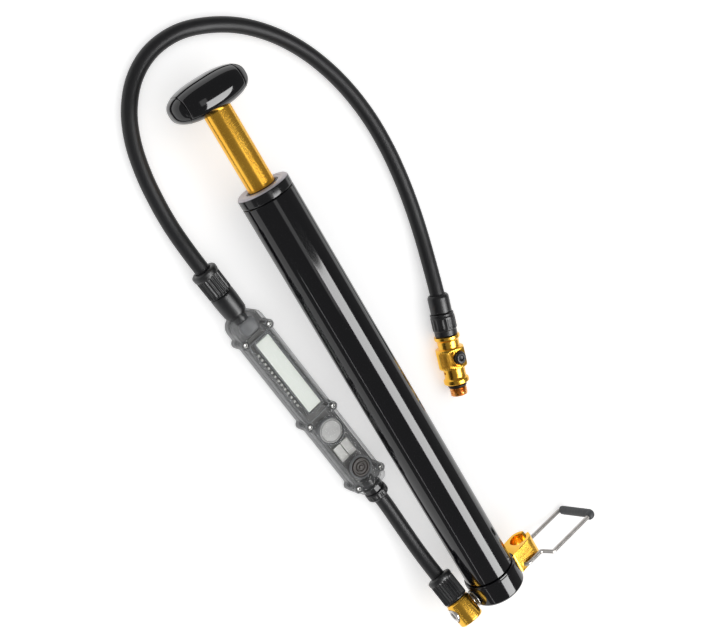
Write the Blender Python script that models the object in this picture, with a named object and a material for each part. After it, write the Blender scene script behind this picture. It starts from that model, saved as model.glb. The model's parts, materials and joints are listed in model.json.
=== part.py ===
"""Mini floor pump for suspension forks and tyres, with an inline digital gauge.

Run with: blender --background --python part.py

The pump lies on the ground. Its barrel runs along +Y with the handle at the +Y end, and its foot is at the
-Y end. Every sub-part is one named object. All lengths are in metres.
"""
import math

import bmesh
import bpy
from mathutils import Matrix, Vector

# --- driving dimensions --------------------------------------------------------------------------------------
GAP = 0.0003            # clearance between pieces that touch
RUNNING = 0.0004        # clearance between pieces that slide or turn

AXIS_HEIGHT = 0.024     # barrel axis above the ground
PEG_DROP = 10.4         # degrees that the open foot peg points below level
HANDLE_ROLL = 3.0       # degrees that the handle is turned about the barrel axis

BARREL_OD = 0.026
BARREL_WALL = 0.002
BARREL_LENGTH = 0.2203
BASE_OD = 0.028
BASE_HEIGHT = 0.013
SPIGOT_LENGTH = 0.014
COLLAR_HEIGHT = 0.0054
COLLAR_SPIGOT = 0.012
BUSH_WALL = 0.0016
WIPER_HEIGHT = 0.0022

ROD_OD = 0.0135
ROD_WALL = 0.0016
ROD_SHOWING = 0.0385    # rod between the collar and the handle, as it lies here
PISTON_HEIGHT = 0.014
SEAL_WIRE = 0.0024      # thickness of the piston ring and of the base ring
END_FREE = 0.001        # room left below the piston with the handle pushed home

HANDLE_LENGTH = 0.0388
HANDLE_HEIGHT = 0.0168  # along the rod
HANDLE_DEPTH = 0.0275
HANDLE_CAP = 0.0050     # length of each end cap
HANDLE_SOCKET = 0.009   # depth of the rod in the handle

VALVE_BORE = 0.0066
BALL_D = 0.0040
SEAT_HEIGHT = 0.003
SEAT_HOLE = 0.0024
PORT_HEIGHT = 0.006     # hose port above the foot face
PORT_BORE = 0.0052

BANJO_OD = 0.013
BANJO_LENGTH = 0.0125
BANJO_STANDOFF = 0.0014  # washer and seal between the base and the banjo
BANJO_BOLT_D = 0.0045
BANJO_HEAD_D = 0.0072
BANJO_HEAD_HEIGHT = 0.0022
BANJO_SINK = 0.0024     # depth of the hollow that the bolt head sits in
BANJO_TILT = 24.0       # degrees that the hose leaves the banjo towards the ground

HOSE_D = 0.0074
HOSE_COLLAR_OD = 0.0132
HOSE_COLLAR_LENGTH = 0.0145

BRACKET_WIDTH = 0.013
BRACKET_HEIGHT = 0.0114
BRACKET_FOOT = 0.0006   # underside of the bracket above the foot face
EYE_REACH = 0.0243      # eye centre from the barrel axis
EYE_BORE = 0.0090
PIVOT_REACH = 0.0165
PIVOT_HEIGHT = 0.0030
PEG_WIRE_D = 0.0022
PEG_LENGTH = 0.048
PEG_WIDTH = 0.023
PEG_NECK_LENGTH = 0.0112  # straight part of each leg beside the bracket
PEG_STEP = 0.0030       # how far each leg steps down past the bracket
PEG_OVERSWING = 4.0     # degrees that the peg opens past square
GRIP_D = 0.0046
BRACKET_SCREW_D = 0.0026
BRACKET_HEAD_D = 0.0042
SCREW_HEIGHT = 0.0080   # bracket screw above the foot face

GAUGE_AT = (-0.0290, 0.129)
GAUGE_TILT = 6.3        # degrees about +Z
GAUGE_TOP = 0.064       # ends of the case from the middle pair of bosses
GAUGE_BOTTOM = 0.0466
SHOULDER = 0.0056        # rounding of the case's top end in plan
FITTING_SPIGOT = 0.0034
GAUGE_WIDTH = 0.0164
GAUGE_THICKNESS = 0.013
GAUGE_SPLIT = 0.0072    # height of the joint between case and cover
GAUGE_WALL = 0.0013
BOSS_D = 0.0048
BOSS_REACH = 0.0076
TOP_BOSS_IN = 0.012     # top pair of bosses from the end of the case
BOTTOM_BOSS_IN = 0.0056
BOSS_ROWS = (GAUGE_TOP - TOP_BOSS_IN, 0.0, BOTTOM_BOSS_IN - GAUGE_BOTTOM)
SCREW_D = 0.0018
SCREW_HEAD_D = 0.0030
SCREW_HEAD_HEIGHT = 0.0012
FERRULE_AXIS = 0.0066    # height of the hose axis at the gauge
CHUCK_HEIGHT = 0.0075    # height of the hose axis at the chuck
BOARD_THICKNESS = 0.001
DISPLAY_SIZE = (0.0080, 0.043, 0.0018)
DISPLAY_AT = (0.0013, 0.026)
CELL_D = 0.012
CELL_AT = -0.0098
BUTTON_D = 0.0094
BUTTON_AT = -0.0335
BUTTON_TRAVEL = 0.0008

CHUCK_AT = (0.0568, 0.1398)
CHUCK_TILT = 18.0       # degrees from -Y towards -X
FERRULE_LENGTH = 0.0088
NUT_LENGTH = 0.0115
CHUCK_LENGTH = 0.025
CHUCK_D = 0.0130
KNURL_D = 0.0144
CHUCK_BORE = 0.0066
BLEED_AT = 0.0115
BLEED_SIDE = (0.142, -0.046, 0.989)  # the way that the bleed button faces
BLEED_D = 0.0064
BLEED_TRAVEL = 0.0012
BLEED_PROUD = 0.0012
TIP_LENGTH = 0.0044
TIP_D = 0.0088

# The hoses' routes over the ground, with the barrel axis at x = 0 and the foot face at y = 0.
LOWER_HOSE = [(-0.0219, 0.0171, 0.0190), (-0.0219, 0.0243, 0.0158), (-0.0219, 0.0330, 0.0123),
              (-0.0219, 0.0420, 0.0096), (-0.0219, 0.0510, 0.0079), (-0.0221, 0.0600, 0.0070),
              (-0.0224, 0.0680, 0.0066), (-0.0232, 0.0768, 0.0066)]
UPPER_HOSE = [(-0.0379, 0.2100, 0.0066), (-0.0389, 0.2190, 0.0066), (-0.0397, 0.2310, 0.0055),
              (-0.0399, 0.2430, 0.0042), (-0.0393, 0.2560, 0.0038), (-0.0376, 0.2700, 0.0038),
              (-0.0340, 0.2840, 0.0038), (-0.0276, 0.2966, 0.0038), (-0.0178, 0.3068, 0.0038),
              (-0.0050, 0.3128, 0.0038), (0.0100, 0.3136, 0.0038), (0.0246, 0.3092, 0.0038),
              (0.0384, 0.3012, 0.0038), (0.0502, 0.2900, 0.0038), (0.0594, 0.2768, 0.0038),
              (0.0660, 0.2625, 0.0038), (0.0704, 0.2475, 0.0038), (0.0728, 0.2320, 0.0038),
              (0.0733, 0.2165, 0.0038), (0.0723, 0.2010, 0.0038), (0.0701, 0.1855, 0.0038),
              (0.0667, 0.1700, 0.0042), (0.0618, 0.1545, 0.0059), (0.0568, 0.1398, 0.0075),
              (0.0553, 0.1353, 0.0075)]

# --- worked out from the driving dimensions ------------------------------------------------------------------
BARREL_FOOT = BASE_HEIGHT + GAP
BARREL_TOP = BARREL_FOOT + BARREL_LENGTH
COLLAR_TOP = BARREL_TOP + GAP + COLLAR_HEIGHT
SPIGOT_TOP = BASE_HEIGHT + SPIGOT_LENGTH
BARREL_BORE = BARREL_OD - 2 * BARREL_WALL
HANDLE_FOOT = COLLAR_TOP + ROD_SHOWING
HANDLE_MIDDLE = HANDLE_FOOT + HANDLE_HEIGHT / 2
PUSH_HOME = ROD_SHOWING - RUNNING
PISTON_FOOT = SPIGOT_TOP + END_FREE + PUSH_HOME
PISTON_TOP = PISTON_FOOT + PISTON_HEIGHT
ROD_TOP = HANDLE_FOOT + HANDLE_SOCKET
BANJO_REACH = BASE_OD / 2 + BANJO_STANDOFF + BANJO_OD / 2
LCD_TOP = GAUGE_THICKNESS - GAUGE_WALL - GAP


# --- materials -----------------------------------------------------------------------------------------------
def finish(name, colour, roughness, metallic=0.0, alpha=1.0):
    material = bpy.data.materials.new(name)
    material.use_nodes = True
    shader = material.node_tree.nodes["Principled BSDF"]
    shader.inputs["Base Color"].default_value = (*colour, 1.0)
    shader.inputs["Roughness"].default_value = roughness
    shader.inputs["Metallic"].default_value = metallic
    shader.inputs["Alpha"].default_value = alpha
    material.diffuse_color = (*colour, alpha)
    return material


def make_finishes():
    return {
        "gloss_black": finish("gloss_black", (0.012, 0.012, 0.015), 0.12, 0.6),
        "satin_black": finish("satin_black", (0.022, 0.022, 0.024), 0.45),
        "collar_grey": finish("collar_grey", (0.30, 0.30, 0.31), 0.32, 0.9),
        "gold": finish("gold", (0.86, 0.47, 0.07), 0.20, 1.0),
        "copper": finish("copper", (0.80, 0.42, 0.16), 0.25, 1.0),
        "steel": finish("steel", (0.62, 0.61, 0.59), 0.24, 1.0),
        "rubber": finish("rubber", (0.030, 0.030, 0.032), 0.62),
        "grip_rubber": finish("grip_rubber", (0.075, 0.078, 0.082), 0.60),
        "nylon": finish("nylon", (0.55, 0.54, 0.50), 0.50),
        "smoke": finish("smoke", (0.20, 0.20, 0.20), 0.15, 0.0, 0.85),
        "clear": finish("clear", (0.72, 0.73, 0.72), 0.08, 0.0, 0.35),
        "board": finish("board", (0.30, 0.31, 0.30), 0.45),
        "display": finish("display", (0.80, 0.86, 0.78), 0.20),
    }


# --- building blocks -----------------------------------------------------------------------------------------
def frame_at(name, parent, place, x_axis=(1, 0, 0), z_axis=(0, 0, 1)):
    """An empty with the given place and axes under its parent."""
    empty = bpy.data.objects.new(name, None)
    bpy.context.collection.objects.link(empty)
    empty.parent = parent
    z = Vector(z_axis).normalized()
    x = (Vector(x_axis) - z * z.dot(Vector(x_axis))).normalized()
    y = z.cross(x)
    turn = Matrix((x, y, z)).transposed()
    empty.matrix_basis = Matrix.Translation(place) @ turn.to_4x4()
    return empty


def add(name, bm, material, parent, place=(0, 0, 0), smooth=True):
    bmesh.ops.recalc_face_normals(bm, faces=bm.faces)
    mesh = bpy.data.meshes.new(name)
    bm.to_mesh(mesh)
    bm.free()
    if smooth:
        mesh.shade_smooth()
        mesh.set_sharp_from_angle(angle=math.radians(35))
    obj = bpy.data.objects.new(name, mesh)
    bpy.context.collection.objects.link(obj)
    if material:
        mesh.materials.append(material)
    obj.parent = parent
    obj.location = place
    return obj


def spun(profile, steps=48, closed=True):
    """A solid of revolution about local Z, from (radius, height) points."""
    bm = bmesh.new()
    points = [bm.verts.new((radius, 0, height)) for radius, height in profile]
    pairs = list(zip(points, points[1:]))
    if closed:
        pairs.append((points[-1], points[0]))
    edges = [bm.edges.new(pair) for pair in pairs]
    bmesh.ops.spin(bm, geom=points + edges, axis=(0, 0, 1), cent=(0, 0, 0), angle=2 * math.pi, steps=steps)
    bmesh.ops.remove_doubles(bm, verts=bm.verts, dist=1e-6)
    return bm


def turned(name, profile, material, parent, place=(0, 0, 0), steps=48):
    """A turned piece. A profile whose ends lie on the axis is solid, and any other is a ring."""
    on_axis = profile[0][0] == 0 and profile[-1][0] == 0
    return add(name, spun(profile, steps, not on_axis), material, parent, place)


def rib(obj, low, high, radius, depth, count):
    """Sinks every second line of vertices at the given radius into grooves."""
    step = math.pi / count
    for vertex in obj.data.vertices:
        x, y, z = vertex.co
        if low - 1e-6 <= z <= high + 1e-6 and abs(math.hypot(x, y) - radius) < 1e-5:
            line = round(math.atan2(y, x) / step)
            if line % 2:
                vertex.co.x *= 1 - depth / radius
                vertex.co.y *= 1 - depth / radius


def block(size, centre=(0, 0, 0)):
    bm = bmesh.new()
    bmesh.ops.create_cube(bm, size=1.0)
    bmesh.ops.scale(bm, vec=size, verts=bm.verts)
    bmesh.ops.translate(bm, vec=centre, verts=bm.verts)
    return bm


def rod_shape(radius, low, high, steps=20):
    return spun([(0, low), (radius, low), (radius, high), (0, high)], steps, False)


def cutter(name, bm, target, operation="DIFFERENCE", place=(0, 0, 0), z_axis=None):
    """A hidden shape that cuts its target, or is added to it, placed in the target's own frame."""
    shape = add(name, bm, None, target, place, smooth=False)
    if z_axis:
        shape.rotation_euler = Vector(z_axis).to_track_quat("Z", "Y").to_euler()
    shape.hide_render = True
    shape.hide_viewport = False
    shape.display_type = "WIRE"
    change = target.modifiers.new(name, "BOOLEAN")
    change.operation = operation
    change.solver = "EXACT"
    change.object = shape
    return shape


def wire(name, points, diameter, material, parent, resolution=3):
    """A round bar along the points, with closed ends."""
    curve = bpy.data.curves.new(name, "CURVE")
    curve.dimensions = "3D"
    curve.bevel_depth = diameter / 2
    curve.bevel_resolution = resolution
    curve.use_fill_caps = True
    curve.twist_mode = "MINIMUM"
    line = curve.splines.new("POLY")
    line.points.add(len(points) - 1)
    for target, point in zip(line.points, points):
        target.co = (*point, 1.0)
    curve.materials.append(material)
    obj = bpy.data.objects.new(name, curve)
    bpy.context.collection.objects.link(obj)
    obj.parent = parent
    return obj


def smooth_route(points, spacing):
    """Points at an even spacing along a Catmull-Rom curve through the route's own points."""
    route = [Vector(p) for p in points]
    route = [2 * route[0] - route[1]] + route + [2 * route[-1] - route[-2]]
    dense = []
    for i in range(1, len(route) - 2):
        a, b, c, d = route[i - 1:i + 3]
        for k in range(20):
            t = k / 20
            dense.append(0.5 * (2 * b + (c - a) * t + (2 * a - 5 * b + 4 * c - d) * t ** 2
                                + (3 * b - a - 3 * c + d) * t ** 3))
    dense.append(route[-2])
    total = sum((q - p).length for p, q in zip(dense, dense[1:]))
    count = max(2, round(total / spacing))
    result = [dense[0]]
    run = 0.0
    for p, q in zip(dense, dense[1:]):
        run += (q - p).length
        if run >= total / count * len(result) and len(result) < count:
            result.append(q)
    result.append(dense[-1])
    return result


def rounded_path(points, radius, steps=5):
    """A polyline whose inner corners are replaced by arcs."""
    corners = [Vector(p) for p in points]
    path = [corners[0]]
    for before, corner, after in zip(corners, corners[1:], corners[2:]):
        into = (corner - before).normalized()
        out = (after - corner).normalized()
        half = math.acos(max(-1.0, min(1.0, into.dot(out)))) / 2
        reach = radius * math.tan(half)
        start = corner - into * reach
        middle = start + (out - into * into.dot(out)).normalized() * radius
        arm = start - middle
        side = into * radius
        for k in range(steps + 1):
            angle = 2 * half * k / steps
            path.append(middle + arm * math.cos(angle) + side * math.sin(angle))
    path.append(corners[-1])
    return path


def helix(radius, low, high, turns, steps=10):
    count = int(turns * steps)
    points = []
    for i in range(count + 1):
        angle = 2 * math.pi * turns * i / count
        height = low + (high - low) * i / count
        points.append((radius * math.cos(angle), radius * math.sin(angle), height))
    return points


def o_ring(name, radius, section, material, parent, place=(0, 0, 0), steps=28):
    profile = []
    for i in range(6):
        angle = 2 * math.pi * i / 6
        profile.append((radius + section / 2 * math.cos(angle), section / 2 * math.sin(angle)))
    return turned(name, profile, material, parent, place, steps)


def socket_head(profile_top, socket, depth):
    """The profile points of a round socket sunk into a flat head."""
    return [(socket, profile_top), (socket, profile_top - depth), (0, profile_top - depth)]


# --- pump body -----------------------------------------------------------------------------------------------
def make_base(pump, look, port_direction):
    outer = BASE_OD / 2
    spigot = BARREL_BORE / 2 - GAP
    groove = BARREL_BORE / 2 - SEAL_WIRE - GAP
    ring = BASE_HEIGHT + SPIGOT_LENGTH / 2
    half = SEAL_WIRE / 2 + GAP
    bore = VALVE_BORE / 2
    seat_shelf = SPIGOT_TOP - SEAT_HEIGHT - GAP
    chamfer = 0.0008
    base = turned("base_cap", [
        (0, 0), (outer - chamfer, 0), (outer, chamfer), (outer, BASE_HEIGHT - chamfer / 2),
        (outer - chamfer / 2, BASE_HEIGHT), (spigot, BASE_HEIGHT), (spigot, ring - half), (groove, ring - half),
        (groove, ring + half), (spigot, ring + half), (spigot, SPIGOT_TOP), (bore + 0.0012, SPIGOT_TOP),
        (bore + 0.0012, seat_shelf), (bore, seat_shelf), (bore, PORT_HEIGHT - 0.001),
        (0, PORT_HEIGHT - 0.001)], look["gloss_black"], pump, steps=32)
    cutter("base_port_cut", rod_shape(PORT_BORE / 2, 0.0, outer + 0.002), base,
           place=(0, 0, PORT_HEIGHT), z_axis=port_direction)
    cutter("base_screw_cut", rod_shape(BRACKET_SCREW_D / 2 + GAP, outer - 0.006, outer + 0.002, 16), base,
           place=(0, 0, SCREW_HEIGHT), z_axis=(1, 0, 0))
    seal_radius = (groove + BARREL_BORE / 2) / 2
    o_ring("base_o_ring", seal_radius, BARREL_BORE / 2 - groove - 2 * 0.0001, look["rubber"], pump,
           (0, 0, ring))
    turned("valve_seat", [
        (bore + 0.0012 - GAP, seat_shelf + GAP), (bore + 0.0012 - GAP, SPIGOT_TOP - 0.0002),
        (SEAT_HOLE / 2, SPIGOT_TOP - 0.0002), (SEAT_HOLE / 2, seat_shelf + 0.0012),
        (SEAT_HOLE / 2 + 0.0009, seat_shelf + GAP)], look["steel"], pump, steps=32)


def make_check_valve(pump, look):
    seat_foot = SPIGOT_TOP - SEAT_HEIGHT
    middle = seat_foot - BALL_D / 2 - RUNNING
    ball = bmesh.new()
    bmesh.ops.create_uvsphere(ball, u_segments=16, v_segments=10, radius=BALL_D / 2)
    add("valve_ball", ball, look["steel"], pump, (0, 0, middle))
    foot = PORT_HEIGHT - 0.001 + 0.0005 + GAP
    wire("valve_spring", helix(0.0019, foot, middle - BALL_D / 2 - 0.0007, 5), 0.0005, look["steel"],
         pump, 0)


def make_barrel(pump, look):
    outer = BARREL_OD / 2
    inner = BARREL_BORE / 2
    turned("barrel", [(outer, BARREL_FOOT), (outer, BARREL_TOP), (inner, BARREL_TOP), (inner, BARREL_FOOT)],
           look["gloss_black"], pump, steps=36)


def make_collar(pump, look):
    outer = BARREL_OD / 2
    spigot = BARREL_BORE / 2 - GAP
    foot = BARREL_TOP + GAP
    bush_outer = ROD_OD / 2 + RUNNING + BUSH_WALL
    spigot_foot = foot - COLLAR_SPIGOT
    wiper_shelf = COLLAR_TOP - WIPER_HEIGHT
    bevel = 0.0006
    turned("top_collar", [
        (bush_outer + GAP, spigot_foot), (spigot, spigot_foot), (spigot, foot), (outer - GAP, foot),
        (outer, foot + bevel), (outer, COLLAR_TOP - bevel), (outer - bevel, COLLAR_TOP),
        (bush_outer - 0.0004, COLLAR_TOP), (bush_outer - 0.0004, wiper_shelf - GAP),
        (bush_outer + GAP, wiper_shelf - GAP)], look["collar_grey"], pump, steps=32)
    turned("rod_bush", [
        (ROD_OD / 2 + RUNNING, spigot_foot + GAP), (bush_outer, spigot_foot + GAP),
        (bush_outer, wiper_shelf - 2 * GAP - 0.0006), (ROD_OD / 2 + RUNNING, wiper_shelf - 2 * GAP - 0.0006)],
        look["nylon"], pump, steps=32)
    turned("wiper_seal", [
        (ROD_OD / 2 + RUNNING, wiper_shelf - GAP), (bush_outer - 0.0004 - GAP, wiper_shelf - GAP),
        (bush_outer - 0.0004 - GAP, COLLAR_TOP - 0.0005), (ROD_OD / 2 + RUNNING, COLLAR_TOP - 0.0001)],
        look["satin_black"], pump, steps=32)


# --- rod, piston and handle ----------------------------------------------------------------------------------
def make_piston(pump, look):
    outer = BARREL_BORE / 2 - RUNNING
    groove = BARREL_BORE / 2 - SEAL_WIRE - RUNNING
    ring = PISTON_FOOT + 0.0042
    half = SEAL_WIRE / 2 + GAP
    neck = ROD_OD / 2 - ROD_WALL - GAP
    shoulder = PISTON_TOP - 0.005
    hole = 0.0018
    turned("piston_head", [
        (hole, PISTON_FOOT), (outer - 0.0008, PISTON_FOOT), (outer, PISTON_FOOT + 0.0008),
        (outer, ring - half), (groove, ring - half), (groove, ring + half), (outer, ring + half),
        (outer, shoulder), (neck, shoulder), (neck, PISTON_TOP), (hole, PISTON_TOP)],
        look["nylon"], pump, steps=28)
    seal = BARREL_BORE / 2 - RUNNING / 2 - groove
    o_ring("piston_seal", groove + seal / 2 + 0.00005, seal - 0.0002, look["rubber"], pump, (0, 0, ring))
    turned("piston_bolt", [
        (0, PISTON_FOOT - 0.0006), (0.0030, PISTON_FOOT - 0.0006), (0.0030, PISTON_FOOT - GAP),
        (hole - GAP, PISTON_FOOT - GAP), (hole - GAP, PISTON_TOP + 0.001), (0, PISTON_TOP + 0.001)],
        look["steel"], pump, steps=24)
    return shoulder + GAP


def make_rod(grip, look, foot):
    outer = ROD_OD / 2
    inner = outer - ROD_WALL
    plug = ROD_TOP - 0.012
    turned("rod", [
        (inner, foot), (outer, foot), (outer, ROD_TOP), (0.0026 + GAP, ROD_TOP), (0.0026 + GAP, plug),
        (inner, plug)], look["gold"], grip, steps=32)


def oval(length, depth, height, power=2.6, across=28, down=14):
    """A rounded oval solid: a sphere whose sections are drawn out towards a box by the power."""
    bm = bmesh.new()
    bmesh.ops.create_uvsphere(bm, u_segments=across, v_segments=down, radius=1.0)
    half = (length / 2, depth / 2, height / 2)
    for vertex in bm.verts:
        size = sum(abs(c) ** power for c in vertex.co) ** (1 / power)
        vertex.co = Vector([c / size * h for c, h in zip(vertex.co, half)])
    return bm


def sliced(bm, x, keep_high):
    """The part of a shape on one side of a plane across X, with the cut closed."""
    cut = bmesh.ops.bisect_plane(bm, geom=bm.verts[:] + bm.edges[:] + bm.faces[:], dist=1e-7,
                                 plane_co=(x, 0, 0), plane_no=(1, 0, 0), clear_inner=keep_high,
                                 clear_outer=not keep_high)
    rim = [item for item in cut["geom_cut"] if isinstance(item, bmesh.types.BMEdge)]
    bmesh.ops.edgeloop_fill(bm, edges=rim)
    return bm


def make_handle(grip, look):
    size = (HANDLE_LENGTH, HANDLE_DEPTH, HANDLE_HEIGHT)
    joint = HANDLE_LENGTH / 2 - HANDLE_CAP
    shape = sliced(sliced(oval(*size), joint, False), -joint, True)
    core = add("handle_body", shape, look["gloss_black"], grip, (0, 0, HANDLE_MIDDLE))
    socket_top = HANDLE_SOCKET - HANDLE_HEIGHT / 2
    cutter("handle_rod_cut", rod_shape(ROD_OD / 2 + GAP, -HANDLE_HEIGHT, socket_top + GAP, 32), core)
    cutter("handle_stud_cut", rod_shape(0.0026 + GAP, socket_top - 0.001, socket_top + 0.0045), core)
    add("handle_cap_right", sliced(oval(*size), joint + GAP, True), look["gloss_black"], grip,
        (0, 0, HANDLE_MIDDLE))
    add("handle_cap_left", sliced(oval(*size), -joint - GAP, False), look["gloss_black"], grip,
        (0, 0, HANDLE_MIDDLE))
    turned("handle_stud", [
        (0, ROD_TOP - 0.013), (0.0026, ROD_TOP - 0.013), (0.0026, ROD_TOP + 0.004), (0, ROD_TOP + 0.004)],
        look["steel"], grip, steps=24)


# --- foot peg ------------------------------------------------------------------------------------------------
def make_bracket(pump, look):
    saddle = BASE_OD / 2 + GAP
    half = BRACKET_WIDTH / 2
    foot = BRACKET_FOOT
    top = foot + BRACKET_HEIGHT
    stem = EYE_REACH - saddle + 0.003
    middle = (foot + top) / 2
    bar = block((stem, BRACKET_WIDTH, BRACKET_HEIGHT), (EYE_REACH - stem / 2, 0, middle))
    bracket = add("peg_bracket", bar, look["gold"], pump)
    cutter("bracket_eye_add", rod_shape(half, foot, top, 32), bracket, "UNION", (EYE_REACH, 0, 0))
    cutter("bracket_saddle_cut", rod_shape(saddle, foot - 0.01, top + 0.01, 48), bracket)
    cutter("bracket_eye_cut", rod_shape(EYE_BORE / 2, foot - 0.01, top + 0.01, 28), bracket,
           place=(EYE_REACH, 0, 0))
    notch_at = (EYE_REACH + half, 0, top)
    cutter("bracket_notch_cut", block((half, 0.003, BRACKET_HEIGHT), notch_at), bracket)
    cutter("bracket_pivot_cut", rod_shape(PEG_WIRE_D / 2 + RUNNING, -BRACKET_WIDTH, BRACKET_WIDTH, 16), bracket,
           place=(PIVOT_REACH, 0, PIVOT_HEIGHT), z_axis=(0, 1, 0))
    cutter("bracket_screw_cut", rod_shape(BRACKET_SCREW_D / 2 + GAP, saddle - 0.002, EYE_REACH, 16), bracket,
           place=(0, 0, SCREW_HEIGHT), z_axis=(1, 0, 0))
    head = EYE_REACH - EYE_BORE / 2 + 0.0002
    shank = BRACKET_SCREW_D / 2
    cutter("bracket_seat_cut", rod_shape(BRACKET_HEAD_D / 2 + GAP, head - GAP, EYE_REACH, 20), bracket,
           place=(0, 0, SCREW_HEIGHT), z_axis=(1, 0, 0))
    screw = turned("bracket_screw", [
        (0, saddle - 0.005), (shank, saddle - 0.005), (shank, head), (BRACKET_HEAD_D / 2, head),
        (BRACKET_HEAD_D / 2, head + 0.0012)]
        + socket_head(head + 0.0012, 0.0010, 0.0008), look["steel"], pump, (0, 0, SCREW_HEIGHT), 20)
    screw.rotation_euler = (0, math.pi / 2, 0)


def make_peg(pump, look):
    """The wire loop reaches along the pivot's local X when it is open. Local Z is the pivot's axis."""
    lean = math.radians(PEG_OVERSWING)
    direction = (math.cos(lean), 0, -math.sin(lean))
    pivot = frame_at("peg_pivot", pump, (PIVOT_REACH, 0, PIVOT_HEIGHT), direction, (0, 1, 0))
    neck = BRACKET_WIDTH / 2 + PEG_WIRE_D / 2 + GAP
    side = PEG_WIDTH / 2
    stepped = PEG_NECK_LENGTH + 0.0042
    half = [(0, 0, 0.0008), (0, 0, neck), (PEG_NECK_LENGTH, 0, neck), (stepped, PEG_STEP, side),
            (PEG_LENGTH, PEG_STEP, side)]
    loop = half + [(x, y, -z) for x, y, z in reversed(half)]
    wire("peg_wire", rounded_path(loop, 0.0016, 3), PEG_WIRE_D, look["steel"], pivot, 2)
    bore = PEG_WIRE_D / 2 + GAP
    length = PEG_WIDTH - 2 * (0.0016 + 0.0004)
    turned("peg_grip", [
        (bore, -length / 2), (GRIP_D / 2, -length / 2), (GRIP_D / 2, length / 2), (bore, length / 2)],
        look["grip_rubber"], pivot, (PEG_LENGTH, PEG_STEP, 0), 20)


# --- banjo and lower hose fittings ---------------------------------------------------------------------------
def make_banjo(pump, look, port_direction):
    face = BASE_OD / 2
    bolt = frame_at("port_axis", pump, (0, 0, PORT_HEIGHT), (0, 0, 1), port_direction)
    shank = BANJO_BOLT_D / 2
    far = BANJO_REACH + BANJO_OD / 2 - BANJO_SINK
    head = far + GAP
    turned("banjo_bolt", [
        (0, face - 0.008), (shank, face - 0.008), (shank, head), (BANJO_HEAD_D / 2, head),
        (BANJO_HEAD_D / 2, head + BANJO_HEAD_HEIGHT)]
        + socket_head(head + BANJO_HEAD_HEIGHT, 0.0019, 0.0016), look["steel"], bolt, steps=32)
    turned("port_washer", [
        (shank + GAP, face + 0.0001), (0.0046, face + 0.0001), (0.0046, face + 0.0005),
        (shank + GAP, face + 0.0005)], look["steel"], bolt, steps=32)
    seal = 0.0006
    o_ring("port_seal", shank + GAP + seal / 2 + 0.0002, seal, look["rubber"], bolt, (0, 0, face + 0.0009),
           32)
    tilt = math.radians(BANJO_TILT)
    along = Vector((math.cos(tilt), math.sin(tilt), 0))
    turn = frame_at("banjo_axis", bolt, (0, 0, BANJO_REACH), (0, 0, 1), along)
    outer = BANJO_OD / 2
    tail = -BANJO_LENGTH / 2 - 0.001
    nose = BANJO_LENGTH / 2 - 0.001
    stub = 0.0040
    stub_top = nose + 0.006
    body = turned("banjo", [
        (0, tail), (outer - 0.0007, tail), (outer, tail + 0.0007), (outer, nose), (stub, nose),
        (stub, stub_top), (0.0014, stub_top), (0.0014, nose - 0.003), (0, nose - 0.003)],
        look["gold"], turn, steps=32)
    across = outer + 0.002
    cutter("banjo_bolt_cut", rod_shape(shank + RUNNING, -across, across, 20), body, z_axis=(1, 0, 0))
    cutter("banjo_head_cut", rod_shape(BANJO_HEAD_D / 2 + RUNNING, outer - BANJO_SINK, across, 32), body,
           z_axis=(1, 0, 0))
    ribs = 15
    collar_outer = HOSE_COLLAR_OD / 2
    low = nose + GAP
    high = low + HOSE_COLLAR_LENGTH
    collar = turned("hose_collar", [
        (stub + GAP, low), (collar_outer - 0.0008, low), (collar_outer - 0.0004, low + 0.0004),
        (collar_outer - 0.0004, high - 0.0022), (collar_outer, high - 0.0018), (collar_outer, high - 0.0006),
        (collar_outer - 0.0006, high), (HOSE_D / 2 + GAP, high), (HOSE_D / 2 + GAP, stub_top + 0.0006),
        (stub + GAP, stub_top + 0.0006)], look["satin_black"], turn, steps=2 * ribs)
    rib(collar, low + 0.0003, high - 0.0021, collar_outer - 0.0004, 0.0005, ribs)
    return bolt


# --- gauge ---------------------------------------------------------------------------------------------------
def side_of_case(x_side, radius, inward):
    """One long side of the case from bottom to top, with an arc around each screw boss."""
    points = []
    offset = x_side - BOSS_REACH
    half = math.acos(max(-1.0, min(1.0, offset / radius)))
    for y in sorted(BOSS_ROWS):
        for k in range(6):
            sweep = -half + 2 * half * k / 5
            if inward:
                sweep = -(half + (2 * math.pi - 2 * half) * k / 5)
            points.append((BOSS_REACH + radius * math.cos(sweep), y + radius * math.sin(sweep)))
    return points


def corner(x, y, radius, start):
    """A quarter round that ends a long side, from the given angle in degrees."""
    points = []
    for k in range(5):
        angle = math.radians(start + 22.5 * k)
        points.append((x + radius * math.cos(angle), y + radius * math.sin(angle)))
    return points


def case_block(low, high, inset):
    """The case's plan shape as a solid. Inset, it is the space inside, which stays clear of the bosses."""
    x_side = GAUGE_WIDTH / 2 - inset
    top_round = SHOULDER - inset
    foot_round = SHOULDER / 2 - inset
    right = side_of_case(x_side, BOSS_D / 2, inset > 0)
    right = (corner(x_side - foot_round, -GAUGE_BOTTOM + inset + foot_round, foot_round, -90) + right
             + corner(x_side - top_round, GAUGE_TOP - inset - top_round, top_round, 0))
    outline = right + [(-x, y) for x, y in reversed(right)]
    bm = bmesh.new()
    face = bm.faces.new([bm.verts.new((x, y, low)) for x, y in outline])
    lifted = bmesh.ops.extrude_face_region(bm, geom=[face])
    top = [item for item in lifted["geom"] if isinstance(item, bmesh.types.BMVert)]
    bmesh.ops.translate(bm, vec=(0, 0, high - low), verts=top)
    return bm


def soften(obj, width):
    """Rounds the sharp outer edges of a shell."""
    change = obj.modifiers.new("soften", "BEVEL")
    change.width = width
    change.segments = 1
    change.limit_method = "ANGLE"
    change.angle_limit = math.radians(50)


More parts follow.
